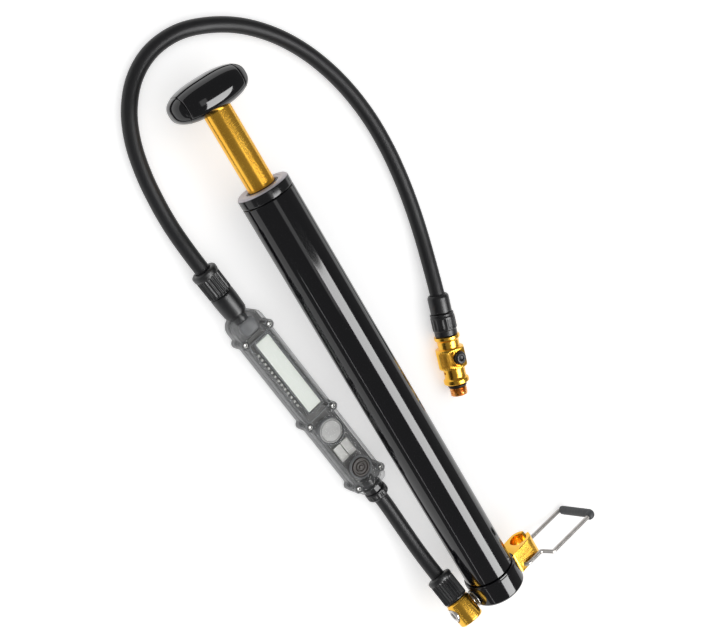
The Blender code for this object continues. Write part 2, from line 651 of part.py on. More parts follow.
def bosses():
    for row, y in enumerate(BOSS_ROWS):
        for column, x in enumerate((-BOSS_REACH, BOSS_REACH)):
            yield 2 * row + column + 1, x, y


def make_gauge_shell(gauge, look):
    wall = GAUGE_WALL
    case = add("gauge_case", case_block(0, GAUGE_SPLIT, 0), look["smoke"], gauge, smooth=False)
    cover = add("gauge_cover", case_block(GAUGE_SPLIT + GAP, GAUGE_THICKNESS, 0), look["clear"], gauge,
                smooth=False)
    soften(case, 0.0005)
    soften(cover, 0.0005)
    cutter("case_cavity_cut", case_block(wall, GAUGE_SPLIT + 0.001, wall), case)
    cutter("cover_cavity_cut", case_block(GAUGE_SPLIT - 0.001, GAUGE_THICKNESS - wall, wall), cover)
    hole = SCREW_D / 2 + GAP
    seat = GAUGE_THICKNESS - SCREW_HEAD_HEIGHT - GAP
    past = GAUGE_THICKNESS + 0.001
    for number, x, y in bosses():
        cutter(f"case_hole_{number}", rod_shape(hole, 0.002, past, 8), case, place=(x, y, 0))
        cutter(f"cover_hole_{number}", rod_shape(hole, 0.004, seat + 0.0005, 8), cover, place=(x, y, 0))
        cutter(f"cover_seat_{number}", rod_shape(SCREW_HEAD_D / 2 + GAP, seat, past, 12), cover,
               place=(x, y, 0))
        make_gauge_screw(gauge, look, number, x, y, seat + GAP)
    cutter("cover_button_cut", rod_shape(BUTTON_D / 2 + RUNNING, GAUGE_SPLIT + 0.001, past, 28), cover,
           place=(0, BUTTON_AT, 0))
    for name, end in (("top", GAUGE_TOP), ("bottom", -GAUGE_BOTTOM)):
        for shell, target in (("case", case), ("cover", cover)):
            cutter(f"{shell}_{name}_cut", rod_shape(FITTING_SPIGOT + GAP, -0.006, 0.006), target,
                   place=(0, end, FERRULE_AXIS), z_axis=(0, 1, 0))


def make_gauge_screw(gauge, look, number, x, y, head_foot):
    top = GAUGE_THICKNESS - 0.0002
    turned(f"gauge_screw_{number}", [
        (0, 0.0026), (SCREW_D / 2, 0.0026), (SCREW_D / 2, head_foot), (SCREW_HEAD_D / 2, head_foot),
        (SCREW_HEAD_D / 2, top - 0.0002), (SCREW_HEAD_D / 2 - 0.0002, top)]
        + socket_head(top, 0.0007, 0.0007), look["steel"], gauge, (x, y, 0), 12)


def make_gauge_inside(gauge, look):
    inside = GAUGE_WIDTH / 2 - GAUGE_WALL
    board_foot = GAUGE_SPLIT - 0.0012
    board_top = board_foot + BOARD_THICKNESS
    board_low = -GAUGE_BOTTOM + 0.006
    board_high = GAUGE_TOP - 0.0125
    board_length = board_high - board_low
    width = 2 * (BOSS_REACH - BOSS_D / 2 - 0.0004)
    add("gauge_board", block((width, board_length, BOARD_THICKNESS),
                             (0, (board_low + board_high) / 2, board_foot + BOARD_THICKNESS / 2)),
        look["board"], gauge, smooth=False)
    wide, long, thick = DISPLAY_SIZE
    x, y = DISPLAY_AT
    add("gauge_display", block((wide, long, thick), (x, y, board_top + GAP + thick / 2)), look["display"],
        gauge, smooth=False)
    cell_top = board_top + GAP + 0.0026
    turned("coin_cell", [
        (0, board_top + GAP), (CELL_D / 2, board_top + GAP), (CELL_D / 2, cell_top - 0.0004),
        (CELL_D / 2 - 0.0004, cell_top), (0, cell_top)], look["steel"], gauge, (0, CELL_AT, 0), 40)
    ring_top = min(cell_top + 0.0008, LCD_TOP)
    turned("cell_ring", [
        (CELL_D / 2 + GAP, board_top + GAP), (inside - GAP, board_top + GAP), (inside - GAP, ring_top),
        (CELL_D / 2 + GAP, ring_top)], look["steel"], gauge, (0, CELL_AT, 0), 40)
    sensor = block((0.0080, 0.0088, 0.0016), (0, BUTTON_AT + 0.0105, board_top + GAP + 0.0008))
    add("pressure_sensor", sensor, look["nylon"], gauge, smooth=False)
    radius = BUTTON_D / 2
    top = GAUGE_THICKNESS - 0.0001
    foot = board_top + GAP + BUTTON_TRAVEL + RUNNING
    turned("gauge_button", [
        (0, foot), (radius, foot), (radius, top - 0.0004), (radius - 0.0004, top), (0.0034, top),
        (0.0034, top - 0.0005), (0.0019, top - 0.0005), (0.0019, top - 0.0002), (0, top - 0.0002)],
        look["satin_black"], gauge, (0, BUTTON_AT, 0), 28)


def make_gauge_fittings(gauge, look):
    bottom = frame_at("gauge_bottom_axis", gauge, (0, -GAUGE_BOTTOM, FERRULE_AXIS), (1, 0, 0), (0, -1, 0))
    bore = HOSE_D / 2 + GAP
    spigot = FITTING_SPIGOT
    nut_end = 0.0030
    sleeve_end = 0.0078
    turned("gauge_nut", [
        (0.0012, -0.004), (spigot, -0.004), (spigot, GAP), (0.0052, GAP), (0.0052, nut_end),
        (0.0030, nut_end), (0.0030, nut_end + 0.002), (0.0012, nut_end + 0.002)], look["satin_black"], bottom,
        steps=12)
    turned("gauge_sleeve", [
        (0.0030 + GAP, nut_end + GAP), (0.0056, nut_end + GAP), (0.0058, nut_end + 0.0007),
        (0.0058, sleeve_end - 0.0006), (0.0052, sleeve_end), (bore, sleeve_end), (bore, nut_end + 0.0026),
        (0.0030 + GAP, nut_end + 0.0026)], look["satin_black"], bottom, steps=28)
    top = frame_at("gauge_top_axis", gauge, (0, GAUGE_TOP, FERRULE_AXIS), (1, 0, 0), (0, 1, 0))
    step = 0.0125
    turned("relief_sleeve", [
        (0.0012, -0.004), (spigot, -0.004), (spigot, GAP), (0.0056, GAP), (0.0060, 0.008), (0.0060, step),
        (0.0044, step), (0.0044, step + 0.004), (0.0012, step + 0.004)], look["satin_black"], top, steps=28)
    ribs = 16
    low = step + GAP
    high = low + 0.0136
    collar = turned("relief_collar", [
        (0.0044 + GAP, low), (0.0060, low), (0.0060, high - 0.0028), (0.0063, high - 0.0023),
        (0.0063, high - 0.0006), (0.0058, high), (bore, high), (bore, low + 0.0044),
        (0.0044 + GAP, low + 0.0044)], look["satin_black"], top, steps=2 * ribs)
    rib(collar, low, high - 0.0027, 0.0060, 0.0005, ribs)


# --- chuck ---------------------------------------------------------------------------------------------------
def make_chuck(ground, look):
    tilt = math.radians(CHUCK_TILT)
    along = (-math.sin(tilt), -math.cos(tilt), 0)
    axis = frame_at("chuck_axis", ground, (*CHUCK_AT, CHUCK_HEIGHT), BLEED_SIDE, along)
    bore = HOSE_D / 2 + GAP
    neck = 0.0030
    turned("hose_ferrule", [
        (0.0012, GAP + 0.0050), (neck + 0.0001, GAP + 0.0050), (bore, GAP + 0.0050), (bore, GAP - 0.0006),
        (0.0050, GAP - 0.0006), (0.0054, 0.001), (0.0054, FERRULE_LENGTH), (neck, FERRULE_LENGTH),
        (neck, FERRULE_LENGTH + 0.006), (0.0012, FERRULE_LENGTH + 0.006)], look["satin_black"], axis, steps=28)
    low = FERRULE_LENGTH + GAP
    high = low + NUT_LENGTH
    ribs = 14
    nut = turned("chuck_nut", [
        (neck + RUNNING, low), (0.0058, low), (0.0062, low + 0.0005), (0.0062, high - 0.0035),
        (0.0058, high - 0.0030), (0.0058, high), (neck + RUNNING, high)], look["satin_black"], axis,
        steps=2 * ribs)
    rib(nut, low + 0.0004, high - 0.0034, 0.0062, 0.0005, ribs)
    make_chuck_body(axis, look, high + GAP)


def make_chuck_body(axis, look, start):
    outer = CHUCK_D / 2
    crown = KNURL_D / 2
    end = start + CHUCK_LENGTH
    knurl = (start + 0.0066, start + 0.0164)
    waist = 0.0055
    passage = 0.0012
    depth = 0.007
    body = turned("chuck_body", [
        (passage, start), (outer, start), (outer, start + 0.0018), (waist, start + 0.0026),
        (waist, start + 0.0062), (crown, knurl[0]), (crown, knurl[1]), (waist, knurl[1] + 0.0006),
        (waist, end - 0.0030), (outer, end - 0.0022), (outer, end - 0.0005), (outer - 0.0005, end),
        (CHUCK_BORE / 2, end), (CHUCK_BORE / 2, end - depth), (passage, end - depth)],
        look["gold"], axis, steps=24)
    bleed = start + BLEED_AT
    cutter("chuck_bleed_cut", rod_shape(BLEED_D / 2 + RUNNING, 0.0006, crown + 0.002, 28), body,
           place=(0, 0, bleed), z_axis=(1, 0, 0))
    cutter("chuck_vent_cut", rod_shape(0.0007, 0.0042, crown + 0.002, 14), body,
           place=(0, 0, knurl[1] + 0.0022), z_axis=(-0.156, 0.988, 0))
    foot = crown - 0.0036
    top = crown + BLEED_PROUD
    button = turned("bleed_button", [
        (0, foot), (BLEED_D / 2, foot), (BLEED_D / 2, top - 0.0004), (BLEED_D / 2 - 0.0004, top),
        (0.0016, top), (0.0012, top - 0.0004), (0, top - 0.0004)], look["satin_black"], axis,
        (0, 0, bleed), 28)
    button.rotation_euler = (0, math.pi / 2, 0)
    coil = wire("bleed_spring", helix(0.0016, 0.0011, foot - 0.0005, 4), 0.0005, look["steel"], axis, 0)
    coil.location = (0, 0, bleed)
    coil.rotation_euler = (0, math.pi / 2, 0)
    o_ring("chuck_o_ring", 0.0041, 0.0013, look["rubber"], axis, (0, 0, end + GAP + 0.0007), 36)
    make_tip(axis, look, end, depth)


def make_tip(axis, look, end, depth):
    spigot = CHUCK_BORE / 2 - GAP
    start = end + 0.0020
    outer = TIP_D / 2
    pitch = TIP_LENGTH / 5
    threads = []
    for i in range(5):
        threads.append((outer - 0.0005, start + i * pitch))
        threads.append((outer, start + (i + 0.5) * pitch))
    finish_at = start + TIP_LENGTH
    seal = 0.0026
    turned("chuck_tip", [(0.0012, end - depth + GAP), (spigot, end - depth + GAP), (spigot, start)] + threads
           + [(outer - 0.0006, finish_at), (seal + GAP, finish_at), (seal + GAP, finish_at - 0.0022),
              (0.0012, finish_at - 0.0022)], look["copper"], axis, steps=20)
    turned("tip_seal", [
        (0.0010, finish_at - 0.0022 + GAP), (seal, finish_at - 0.0022 + GAP), (seal, finish_at - 0.0008),
        (0.0010, finish_at - 0.0008)], look["rubber"], axis, steps=28)


# --- assembly ------------------------------------------------------------------------------------------------
CORD_PIECES = ("lower_hose", "upper_hose", "hose_collar", "gauge_", "relief_", "coin_", "cell_", "pressure_",
               "hose_ferrule", "chuck_", "bleed_", "tip_")


def settle(ground):
    """Moves the whole pump so that its box, without the hose and what is on it, is centred on the origin."""
    bpy.context.view_layer.update()
    corners = []
    graph = bpy.context.evaluated_depsgraph_get()
    for obj in bpy.data.objects:
        if obj.type == "EMPTY" or obj.hide_render or obj.name.startswith(CORD_PIECES):
            continue
        shape = obj.evaluated_get(graph)
        mesh = shape.to_mesh()
        corners += [shape.matrix_world @ vertex.co for vertex in mesh.vertices]
        shape.to_mesh_clear()
    for axis in range(2):
        values = [corner[axis] for corner in corners]
        ground.location[axis] -= (min(values) + max(values)) / 2
    bpy.context.view_layer.update()


def main():
    for obj in list(bpy.data.objects):
        bpy.data.objects.remove(obj, do_unlink=True)
    look = make_finishes()
    ground = frame_at("ground_frame", None, (0, 0, 0))
    drop = math.radians(PEG_DROP)
    pump = frame_at("pump_axis", ground, (0, 0, AXIS_HEIGHT), (math.cos(drop), 0, -math.sin(drop)), (0, 1, 0))
    port_direction = Vector((-math.cos(drop), math.sin(drop), 0))
    make_base(pump, look, port_direction)
    make_check_valve(pump, look)
    make_barrel(pump, look)
    make_collar(pump, look)
    rod_foot = make_piston(pump, look)
    roll = math.radians(PEG_DROP + HANDLE_ROLL)
    grip = frame_at("handle_axis", pump, (0, 0, 0), (math.cos(roll), -math.sin(roll), 0), (0, 0, 1))
    make_rod(grip, look, rod_foot)
    make_handle(grip, look)
    make_bracket(pump, look)
    make_peg(pump, look)
    make_banjo(pump, look, port_direction)
    tilt = math.radians(GAUGE_TILT)
    gauge = frame_at("gauge_frame", ground, (*GAUGE_AT, 0), (math.cos(tilt), math.sin(tilt), 0), (0, 0, 1))
    make_gauge_shell(gauge, look)
    make_gauge_inside(gauge, look)
    make_gauge_fittings(gauge, look)
    make_chuck(ground, look)
    wire("lower_hose", smooth_route(LOWER_HOSE, 0.005), HOSE_D, look["rubber"], ground, 2)
    wire("upper_hose", smooth_route(UPPER_HOSE, 0.010), HOSE_D, look["rubber"], ground, 2)
    settle(ground)


main()
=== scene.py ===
"""Looks for a mini floor pump with an inline digital gauge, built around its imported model.

Every shape is a surface worked out with numpy, in metres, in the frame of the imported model: the barrel
runs along +Y, the handle is at the +Y end, and the ground is z = 0.
"""
import json
import math

import bmesh
import bpy
import numpy as np
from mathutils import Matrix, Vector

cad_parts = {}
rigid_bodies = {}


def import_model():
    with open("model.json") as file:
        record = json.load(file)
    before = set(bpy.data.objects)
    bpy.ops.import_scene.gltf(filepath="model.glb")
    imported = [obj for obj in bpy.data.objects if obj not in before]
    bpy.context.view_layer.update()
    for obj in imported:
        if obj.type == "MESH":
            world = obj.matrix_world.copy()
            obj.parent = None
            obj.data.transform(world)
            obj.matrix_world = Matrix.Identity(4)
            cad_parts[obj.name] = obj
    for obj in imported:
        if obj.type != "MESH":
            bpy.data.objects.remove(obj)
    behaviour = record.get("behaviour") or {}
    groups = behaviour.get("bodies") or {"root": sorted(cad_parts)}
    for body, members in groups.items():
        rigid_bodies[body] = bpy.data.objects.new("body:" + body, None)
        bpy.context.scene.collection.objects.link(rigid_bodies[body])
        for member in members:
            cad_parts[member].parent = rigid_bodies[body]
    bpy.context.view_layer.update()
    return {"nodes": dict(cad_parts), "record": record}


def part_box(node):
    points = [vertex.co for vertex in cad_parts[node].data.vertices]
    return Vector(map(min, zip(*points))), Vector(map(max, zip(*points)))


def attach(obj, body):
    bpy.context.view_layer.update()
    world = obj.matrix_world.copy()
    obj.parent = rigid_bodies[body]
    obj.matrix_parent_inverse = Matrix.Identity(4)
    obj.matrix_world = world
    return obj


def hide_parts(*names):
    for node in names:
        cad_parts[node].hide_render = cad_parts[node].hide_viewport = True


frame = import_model()

GAP = 0.0003

# --- places, as the part's own source sets them out ---
AXIS_HEIGHT = 0.024
PEG_DROP = math.radians(10.4)
HANDLE_ROLL = math.radians(3.0)
BASE_HEIGHT = 0.013
BARREL_TOP = BASE_HEIGHT + GAP + 0.2203
COLLAR_TOP = BARREL_TOP + GAP + 0.0054
ROD_FOOT = 0.07545
ROD_OUT = 0.0385
ROD_TOP = COLLAR_TOP + ROD_OUT + 0.009
HANDLE_MIDDLE = COLLAR_TOP + ROD_OUT + 0.0084
FERRULE_AXIS = 0.0066
CHUCK_HEIGHT = 0.0075
BANJO_REACH = 0.0219
GAUGE_TOP = 0.064
GAUGE_BOTTOM = 0.0466
BOSS_ROWS = (0.052, 0.0, -0.041)
BOSS_REACH = 0.0076
BUTTON_AT = -0.0335
CELL_AT = -0.0098

LOWER_HOSE = [(-0.0219, 0.0171, 0.019), (-0.0219, 0.0243, 0.0158), (-0.0219, 0.033, 0.0123),
              (-0.0219, 0.042, 0.0096), (-0.0219, 0.051, 0.0079), (-0.0221, 0.06, 0.007),
              (-0.0224, 0.068, 0.0066), (-0.0232, 0.0768, 0.0066)]
UPPER_HOSE = [(-0.0379, 0.21, 0.0066), (-0.0389, 0.219, 0.0066), (-0.0397, 0.231, 0.0055),
              (-0.0399, 0.243, 0.0042), (-0.0393, 0.256, 0.0038), (-0.0376, 0.27, 0.0038),
              (-0.034, 0.284, 0.0038), (-0.0276, 0.2966, 0.0038), (-0.0178, 0.3068, 0.0038),
              (-0.005, 0.3128, 0.0038), (0.01, 0.3136, 0.0038), (0.0246, 0.3092, 0.0038),
              (0.0384, 0.3012, 0.0038), (0.0502, 0.29, 0.0038), (0.0594, 0.2768, 0.0038),
              (0.066, 0.2625, 0.0038), (0.0704, 0.2475, 0.0038), (0.0728, 0.232, 0.0038),
              (0.0733, 0.2165, 0.0038), (0.0723, 0.201, 0.0038), (0.0701, 0.1855, 0.0038),
              (0.0667, 0.17, 0.0042), (0.0618, 0.1545, 0.0059), (0.0568, 0.1398, 0.0075),
              (0.0553, 0.1353, 0.0075)]
HOSE_D = 0.0074


def axes(parent, place, x_axis=(1, 0, 0), z_axis=(0, 0, 1)):
    """A 4 by 4 matrix with its origin at place and the given axes, measured in its parent's frame."""
    z = np.array(z_axis, float) / np.linalg.norm(z_axis)
    x = np.array(x_axis, float)
    x = x - z * z.dot(x)
    x /= np.linalg.norm(x)
    local = np.eye(4)
    local[:3, :3] = np.stack((x, np.cross(z, x), z), axis=1)
    local[:3, 3] = place
    return parent @ local


def find_places():
    """The frame of each group of pieces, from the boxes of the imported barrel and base."""
    barrel_low, barrel_high = (np.array(c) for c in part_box("barrel"))
    base_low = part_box("base_cap")[0]
    ground = axes(np.eye(4), ((barrel_low[0] + barrel_high[0]) / 2, base_low[1], 0))
    c, s = math.cos(PEG_DROP), math.sin(PEG_DROP)
    pump = axes(ground, (0, 0, AXIS_HEIGHT), (c, 0, -s), (0, 1, 0))
    roll = PEG_DROP + HANDLE_ROLL
    grip = axes(pump, (0, 0, 0), (math.cos(roll), -math.sin(roll), 0), (0, 0, 1))
    lean = math.radians(4.0)
    pivot = axes(pump, (0.0165, 0, 0.003), (math.cos(lean), 0, -math.sin(lean)), (0, 1, 0))
    port = axes(pump, (0, 0, 0.006), (0, 0, 1), (-c, s, 0))
    tilt = math.radians(24.0)
    banjo = axes(port, (0, 0, BANJO_REACH), (0, 0, 1), (math.cos(tilt), math.sin(tilt), 0))
    turn = math.radians(6.3)
    gauge = axes(ground, (-0.029, 0.129, 0), (math.cos(turn), math.sin(turn), 0))
    bottom = axes(gauge, (0, -GAUGE_BOTTOM, FERRULE_AXIS), (1, 0, 0), (0, -1, 0))
    top = axes(gauge, (0, GAUGE_TOP, FERRULE_AXIS), (1, 0, 0), (0, 1, 0))
    lay = math.radians(18.0)
    chuck = axes(ground, (0.0568, 0.1398, CHUCK_HEIGHT), (0.142, -0.046, 0.989),
                 (-math.sin(lay), -math.cos(lay), 0))
    return {"ground": ground, "pump": pump, "grip": grip, "pivot": pivot, "port": port, "banjo": banjo,
            "gauge": gauge, "bottom": bottom, "top": top, "chuck": chuck}


PLACES = find_places()


# --- camera, floor and light ---
VIEW_RIGHT = (0.74861, -0.48004, 0.45732)
VIEW_UP = (0.56905, 0.81918, -0.0716)
VIEW_BACK = (-0.34026, 0.31384, 0.88641)
VIEW_AT = (-0.21896, 0.21107, 0.5653)


def set_matrix(obj, matrix):
    """Gives an object the place and axes in a 4 by 4 array. An array's columns are a Matrix's rows turned."""
    obj.matrix_world = [tuple(row) for row in np.asarray(matrix, float).T]


def make_camera():
    data = bpy.data.cameras.new("view_camera")
    data.lens = 66.1
    data.sensor_width = 36.0
    data.clip_start = 0.01
    camera = bpy.data.objects.new("view_camera", data)
    bpy.context.collection.objects.link(camera)
    matrix = np.eye(4)
    matrix[:3, :3] = np.stack((VIEW_RIGHT, VIEW_UP, VIEW_BACK), axis=1)
    matrix[:3, 3] = VIEW_AT
    set_matrix(camera, matrix)
    bpy.context.scene.camera = camera


def panel_light(name, azimuth, distance, width, length, radiance, mirrored=True, shift=0.0):
    """A rectangular light parallel to the barrel. The azimuth turns about the barrel from the line of sight
    towards the foot peg's side, so the barrel mirrors it at half that angle. A mirrored light only shows in
    gloss, and any other only lights the surfaces. Power is radiance times pi times the area."""
    along = np.array((0.0, 1.0, 0.0))
    sight = np.array(VIEW_BACK) - along * VIEW_BACK[1]
    sight /= np.linalg.norm(sight)
    side = np.cross(along, sight)
    outward = sight * math.cos(azimuth) + side * math.sin(azimuth)
    data = bpy.data.lights.new(name, "AREA")
    data.shape = "RECTANGLE"
    data.size = width
    data.size_y = length
    data.energy = radiance * math.pi * width * length
    light = bpy.data.objects.new(name, data)
    bpy.context.collection.objects.link(light)
    light.visible_glossy = mirrored
    light.visible_diffuse = not mirrored
    centre = PLACES["pump"] @ np.array((0, 0, 0.12, 1.0))
    matrix = np.eye(4)
    matrix[:3, :3] = np.stack((np.cross(along, outward), along, outward), axis=1)
    matrix[:3, 3] = centre[:3] + outward * distance + along * shift
    set_matrix(light, matrix)


def make_studio():
    """The mirrored strips reach past the barrel's foot, where the camera sees them in the barrel."""
    world = bpy.data.worlds.new("studio")
    world.use_nodes = True
    backdrop = world.node_tree.nodes["Background"].inputs
    backdrop["Color"].default_value = (1.0, 1.0, 1.0, 1.0)
    backdrop["Strength"].default_value = 0.22
    bpy.context.scene.world = world
    bpy.context.scene.view_settings.view_transform = "Standard"
    panel_light("key_strip", math.radians(38), 0.9, 0.56, 1.5, 10.5, shift=-0.84)
    panel_light("edge_strip", math.radians(-50), 0.9, 0.022, 1.5, 4.0, shift=-0.84)
    panel_light("rod_panel", math.radians(16), 0.9, 0.22, 0.3, 1.0, shift=-0.02)
    panel_light("sky_panel", math.radians(21), 2.0, 3.6, 3.6, 0.9, mirrored=False)
    panel_light("left_panel", math.radians(-45), 1.6, 1.6, 2.4, 0.65, mirrored=False)
    bm = bmesh.new()
    bmesh.ops.create_grid(bm, x_segments=1, y_segments=1, size=3.0)
    bmesh.ops.translate(bm, vec=(0, 0, -0.0002), verts=bm.verts)
    mesh = bpy.data.meshes.new("studio_floor")
    bm.to_mesh(mesh)
    bm.free()
    floor = bpy.data.objects.new("studio_floor", mesh)
    bpy.context.collection.objects.link(floor)
    paint = bpy.data.materials.new("floor_paint")
    paint.use_nodes = True
    sockets = paint.node_tree.nodes["Principled BSDF"].inputs
    sockets["Base Color"].default_value = (0.9, 0.9, 0.9, 1.0)
    sockets["Roughness"].default_value = 0.9
    sockets["Emission Color"].default_value = (1.0, 1.0, 1.0, 1.0)
    sockets["Emission Strength"].default_value = 0.45
    mesh.materials.append(paint)


# --- shader maths ---
class Value:
    """One output socket of a finish. Sums, products and powers of values add the Math nodes they need."""

    def __init__(self, finish, socket):
        self.finish = finish
        self.socket = socket

    def maths(self, operation, *terms):
        sockets = dict(enumerate(terms))
        return self.finish.node("ShaderNodeMath", {"operation": operation}, sockets)

    def __add__(self, other):
        return self.maths("ADD", self, other)

    def __radd__(self, other):
        return self.maths("ADD", other, self)

    def __sub__(self, other):
        return self.maths("SUBTRACT", self, other)

    def __rsub__(self, other):
        return self.maths("SUBTRACT", other, self)

    def __mul__(self, other):
        return self.maths("MULTIPLY", self, other)

    def __rmul__(self, other):
        return self.maths("MULTIPLY", other, self)

    def __pow__(self, other):
        return self.maths("POWER", self, other)

    def above(self, edge, width):
        """0 below the edge and 1 above it, with a smooth step of the given width between."""
        steps = {"Value": self, "From Min": edge - width / 2, "From Max": edge + width / 2}
        return self.finish.node("ShaderNodeMapRange", {"interpolation_type": "SMOOTHSTEP"}, steps)


class Finish:
    """A material on one Principled shader. Constants go on its sockets, and feed() links what varies."""

    def __init__(self, name, colour, roughness, metallic=0.0, **constants):
        self.material = bpy.data.materials.new(name)
        self.material.use_nodes = True
        self.tree = self.material.node_tree
        self.shader = self.tree.nodes["Principled BSDF"]
        self.colour = (*colour, 1.0)
        self.shader.inputs["Base Color"].default_value = self.colour
        self.shader.inputs["Roughness"].default_value = roughness
        self.shader.inputs["Metallic"].default_value = metallic
        for socket, value in constants.items():
            self.shader.inputs[socket.replace("_", " ")].default_value = value

    def node(self, kind, settings=None, sockets=None, output=0):
        """Any node: its settings first, then the value or the link of each socket."""
        node = self.tree.nodes.new(kind)
        for key, value in (settings or {}).items():
            setattr(node, key, value)
        for key, value in (sockets or {}).items():
            if isinstance(value, Value):
                self.tree.links.new(value.socket, node.inputs[key])
            else:
                node.inputs[key].default_value = value
        return Value(self, node.outputs[output])

    def feed(self, **sockets):
        for socket, value in sockets.items():
            self.tree.links.new(value.socket, self.shader.inputs[socket.replace("_", " ")])

    def place(self):
        """Object coordinates, in metres in the model's frame."""
        return self.node("ShaderNodeTexCoord", output=3)

    def split(self, vector):
        """The three parts of a vector."""
        first = self.node("ShaderNodeSeparateXYZ", None, {"Vector": vector})
        outputs = first.socket.node.outputs
        return [Value(self, socket) for socket in outputs]

    def stretched(self, scale, turn=(0, 0, 0)):
        """Object coordinates scaled, and turned by angles in radians."""
        sockets = {"Vector": self.place(), "Scale": scale, "Rotation": turn}
        return self.node("ShaderNodeMapping", None, sockets)

    def noise(self, scale, detail=2.0, vector=None, roughness=0.5):
        sockets = {"Vector": vector or self.place(), "Scale": scale, "Detail": detail,
                   "Roughness": roughness}
        return self.node("ShaderNodeTexNoise", None, sockets)

    def cells(self, scale):
        return self.node("ShaderNodeTexVoronoi", None, {"Vector": self.place(), "Scale": scale})

    def bump(self, height, depth, strength=1.0):
        """Bump whose height of 1 stands for depth in metres."""
        sockets = {"Height": height, "Distance": depth, "Strength": strength}
        self.feed(Normal=self.node("ShaderNodeBump", None, sockets))

    def blend(self, mask, low, high):
        """A colour between low and high, by the mask."""
        node = self.tree.nodes.new("ShaderNodeMix")
        node.data_type = "RGBA"
        self.tree.links.new(mask.socket, node.inputs[0])
        for slot_number, value in ((6, low), (7, high)):
            if isinstance(value, Value):
                self.tree.links.new(value.socket, node.inputs[slot_number])
            else:
                node.inputs[slot_number].default_value = (*value, 1.0)
        return Value(self, node.outputs[2])


def gloss_black():
    """Black anodising with a clear polish: near mirror, with faint haze and a few fine specks."""
    look = Finish("gloss_black", (0.004, 0.004, 0.005), 0.08, 0.0, IOR=1.52)
    haze = look.noise(38.0, 4.0)
    look.feed(Roughness=0.05 + 0.06 * haze)
    specks = look.noise(2600.0, 1.0).above(0.765, 0.02)
    look.feed(Base_Color=look.blend(specks, (0.003, 0.003, 0.004), (0.045, 0.045, 0.048)))
    look.bump(look.noise(160.0, 2.0), 0.00002, 0.25)
    return look.material


def collar_finish():
    """The top collar: a satin grey face on a black turned side."""
    look = Finish("collar_grey", (0.23, 0.23, 0.24), 0.32, 0.85)
    along = look.split(look.place())[1]
    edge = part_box("top_collar")[1][1] - 0.0009
    face = along.above(edge, 0.0003)
    grain = look.noise(900.0, 3.0)
    look.feed(Base_Color=look.blend(face, (0.006, 0.006, 0.007), (0.5, 0.47, 0.5)))
    look.feed(Metallic=0.45 * face, Roughness=0.12 + 0.2 * face + 0.06 * grain)
    look.bump(grain, 0.00002, 0.3)
    return look.material


def gold(name, axis=1, base=(1.0, 0.6, 0.09), deep=(0.86, 0.44, 0.045)):
    """Gold anodised aluminium, turned, so fine lines run around the axis of the work."""
    look = Finish(name, base, 0.2, 1.0)
    scale = [60.0, 60.0, 60.0]
    scale[axis] = 2600.0
    lines = look.noise(1.0, 2.0, look.stretched(tuple(scale)))
    cloud = look.noise(70.0, 3.0)
    look.feed(Base_Color=look.blend(cloud.above(0.5, 0.7), deep, base))
    look.feed(Roughness=0.14 + 0.14 * lines + 0.06 * cloud)
    look.bump(lines, 0.000012, 0.35)
    return look.material


def copper():
    look = Finish("copper", (0.86, 0.43, 0.13), 0.22, 1.0)
    wear = look.noise(420.0, 4.0)
    look.feed(Base_Color=look.blend(wear.above(0.52, 0.3), (0.62, 0.25, 0.06), (0.93, 0.5, 0.17)))
    look.feed(Roughness=0.14 + 0.2 * wear)
    look.bump(wear, 0.00002, 0.3)
    return look.material


def steel(name="steel", base=(0.7, 0.67, 0.64), roughness=0.2):
    """Drawn stainless steel with fine scratches and a slightly uneven tone."""
    look = Finish(name, base, roughness, 0.55)
    scratches = look.noise(1.0, 3.0, look.stretched((1500.0, 260.0, 1500.0)))
    cloud = look.noise(120.0, 3.0)
    dark = tuple(0.62 * c for c in base)
    look.feed(Base_Color=look.blend(cloud.above(0.5, 0.8), dark, base))
    look.feed(Roughness=roughness - 0.06 + 0.16 * scratches)
    look.bump(scratches, 0.00001, 0.35)
    return look.material


def rubber(name, base, roughness, grain=0.00004, shine=0.45):
    """Extruded rubber: a fine grain, and slow changes of sheen along its length."""
    look = Finish(name, base, roughness, 0.0, Specular_IOR_Level=shine)
    fine = look.noise(2300.0, 3.0)
    slow = look.noise(45.0, 3.0)
    pale = tuple(1.5 * c + 0.004 for c in base)
    look.feed(Base_Color=look.blend(fine.above(0.56, 0.5) * 0.5 + slow * 0.35, base, pale))
    look.feed(Roughness=roughness - 0.07 + 0.1 * slow + 0.08 * fine)
    look.bump(fine, grain, 0.5)
    return look.material


def satin_black():
    """Moulded black plastic with a spark-eroded skin."""
    look = Finish("satin_black", (0.014, 0.014, 0.015), 0.36, 0.0, Specular_IOR_Level=0.5)
    grain = look.cells(2600.0)
    slow = look.noise(90.0, 3.0)
    look.feed(Base_Color=look.blend(slow.above(0.5, 0.8), (0.006, 0.006, 0.007), (0.014, 0.014, 0.015)))
    look.feed(Roughness=0.26 + 0.12 * slow + 0.08 * grain)
    look.bump(grain, 0.00003, 0.35)
    return look.material


def clear_shell(name, tint, low, high, roughness=0.06):
    """Tinted clear plastic. It hides more where its surface turns away, as a thick clear wall does."""
    look = Finish(name, tint, roughness, 0.0, Specular_IOR_Level=0.14)
    facing = look.node("ShaderNodeLayerWeight", None, {"Blend": 0.42}, 1)
    flow = look.noise(140.0, 3.0)
    look.feed(Alpha=low + (high - low) * facing ** 1.6)
    look.feed(Roughness=roughness - 0.02 + 0.06 * flow)
    dark = tuple(0.72 * c for c in tint)
    look.feed(Base_Color=look.blend(flow.above(0.5, 0.6), dark, tint))
    look.bump(flow, 0.00006, 0.35)
    return look.material


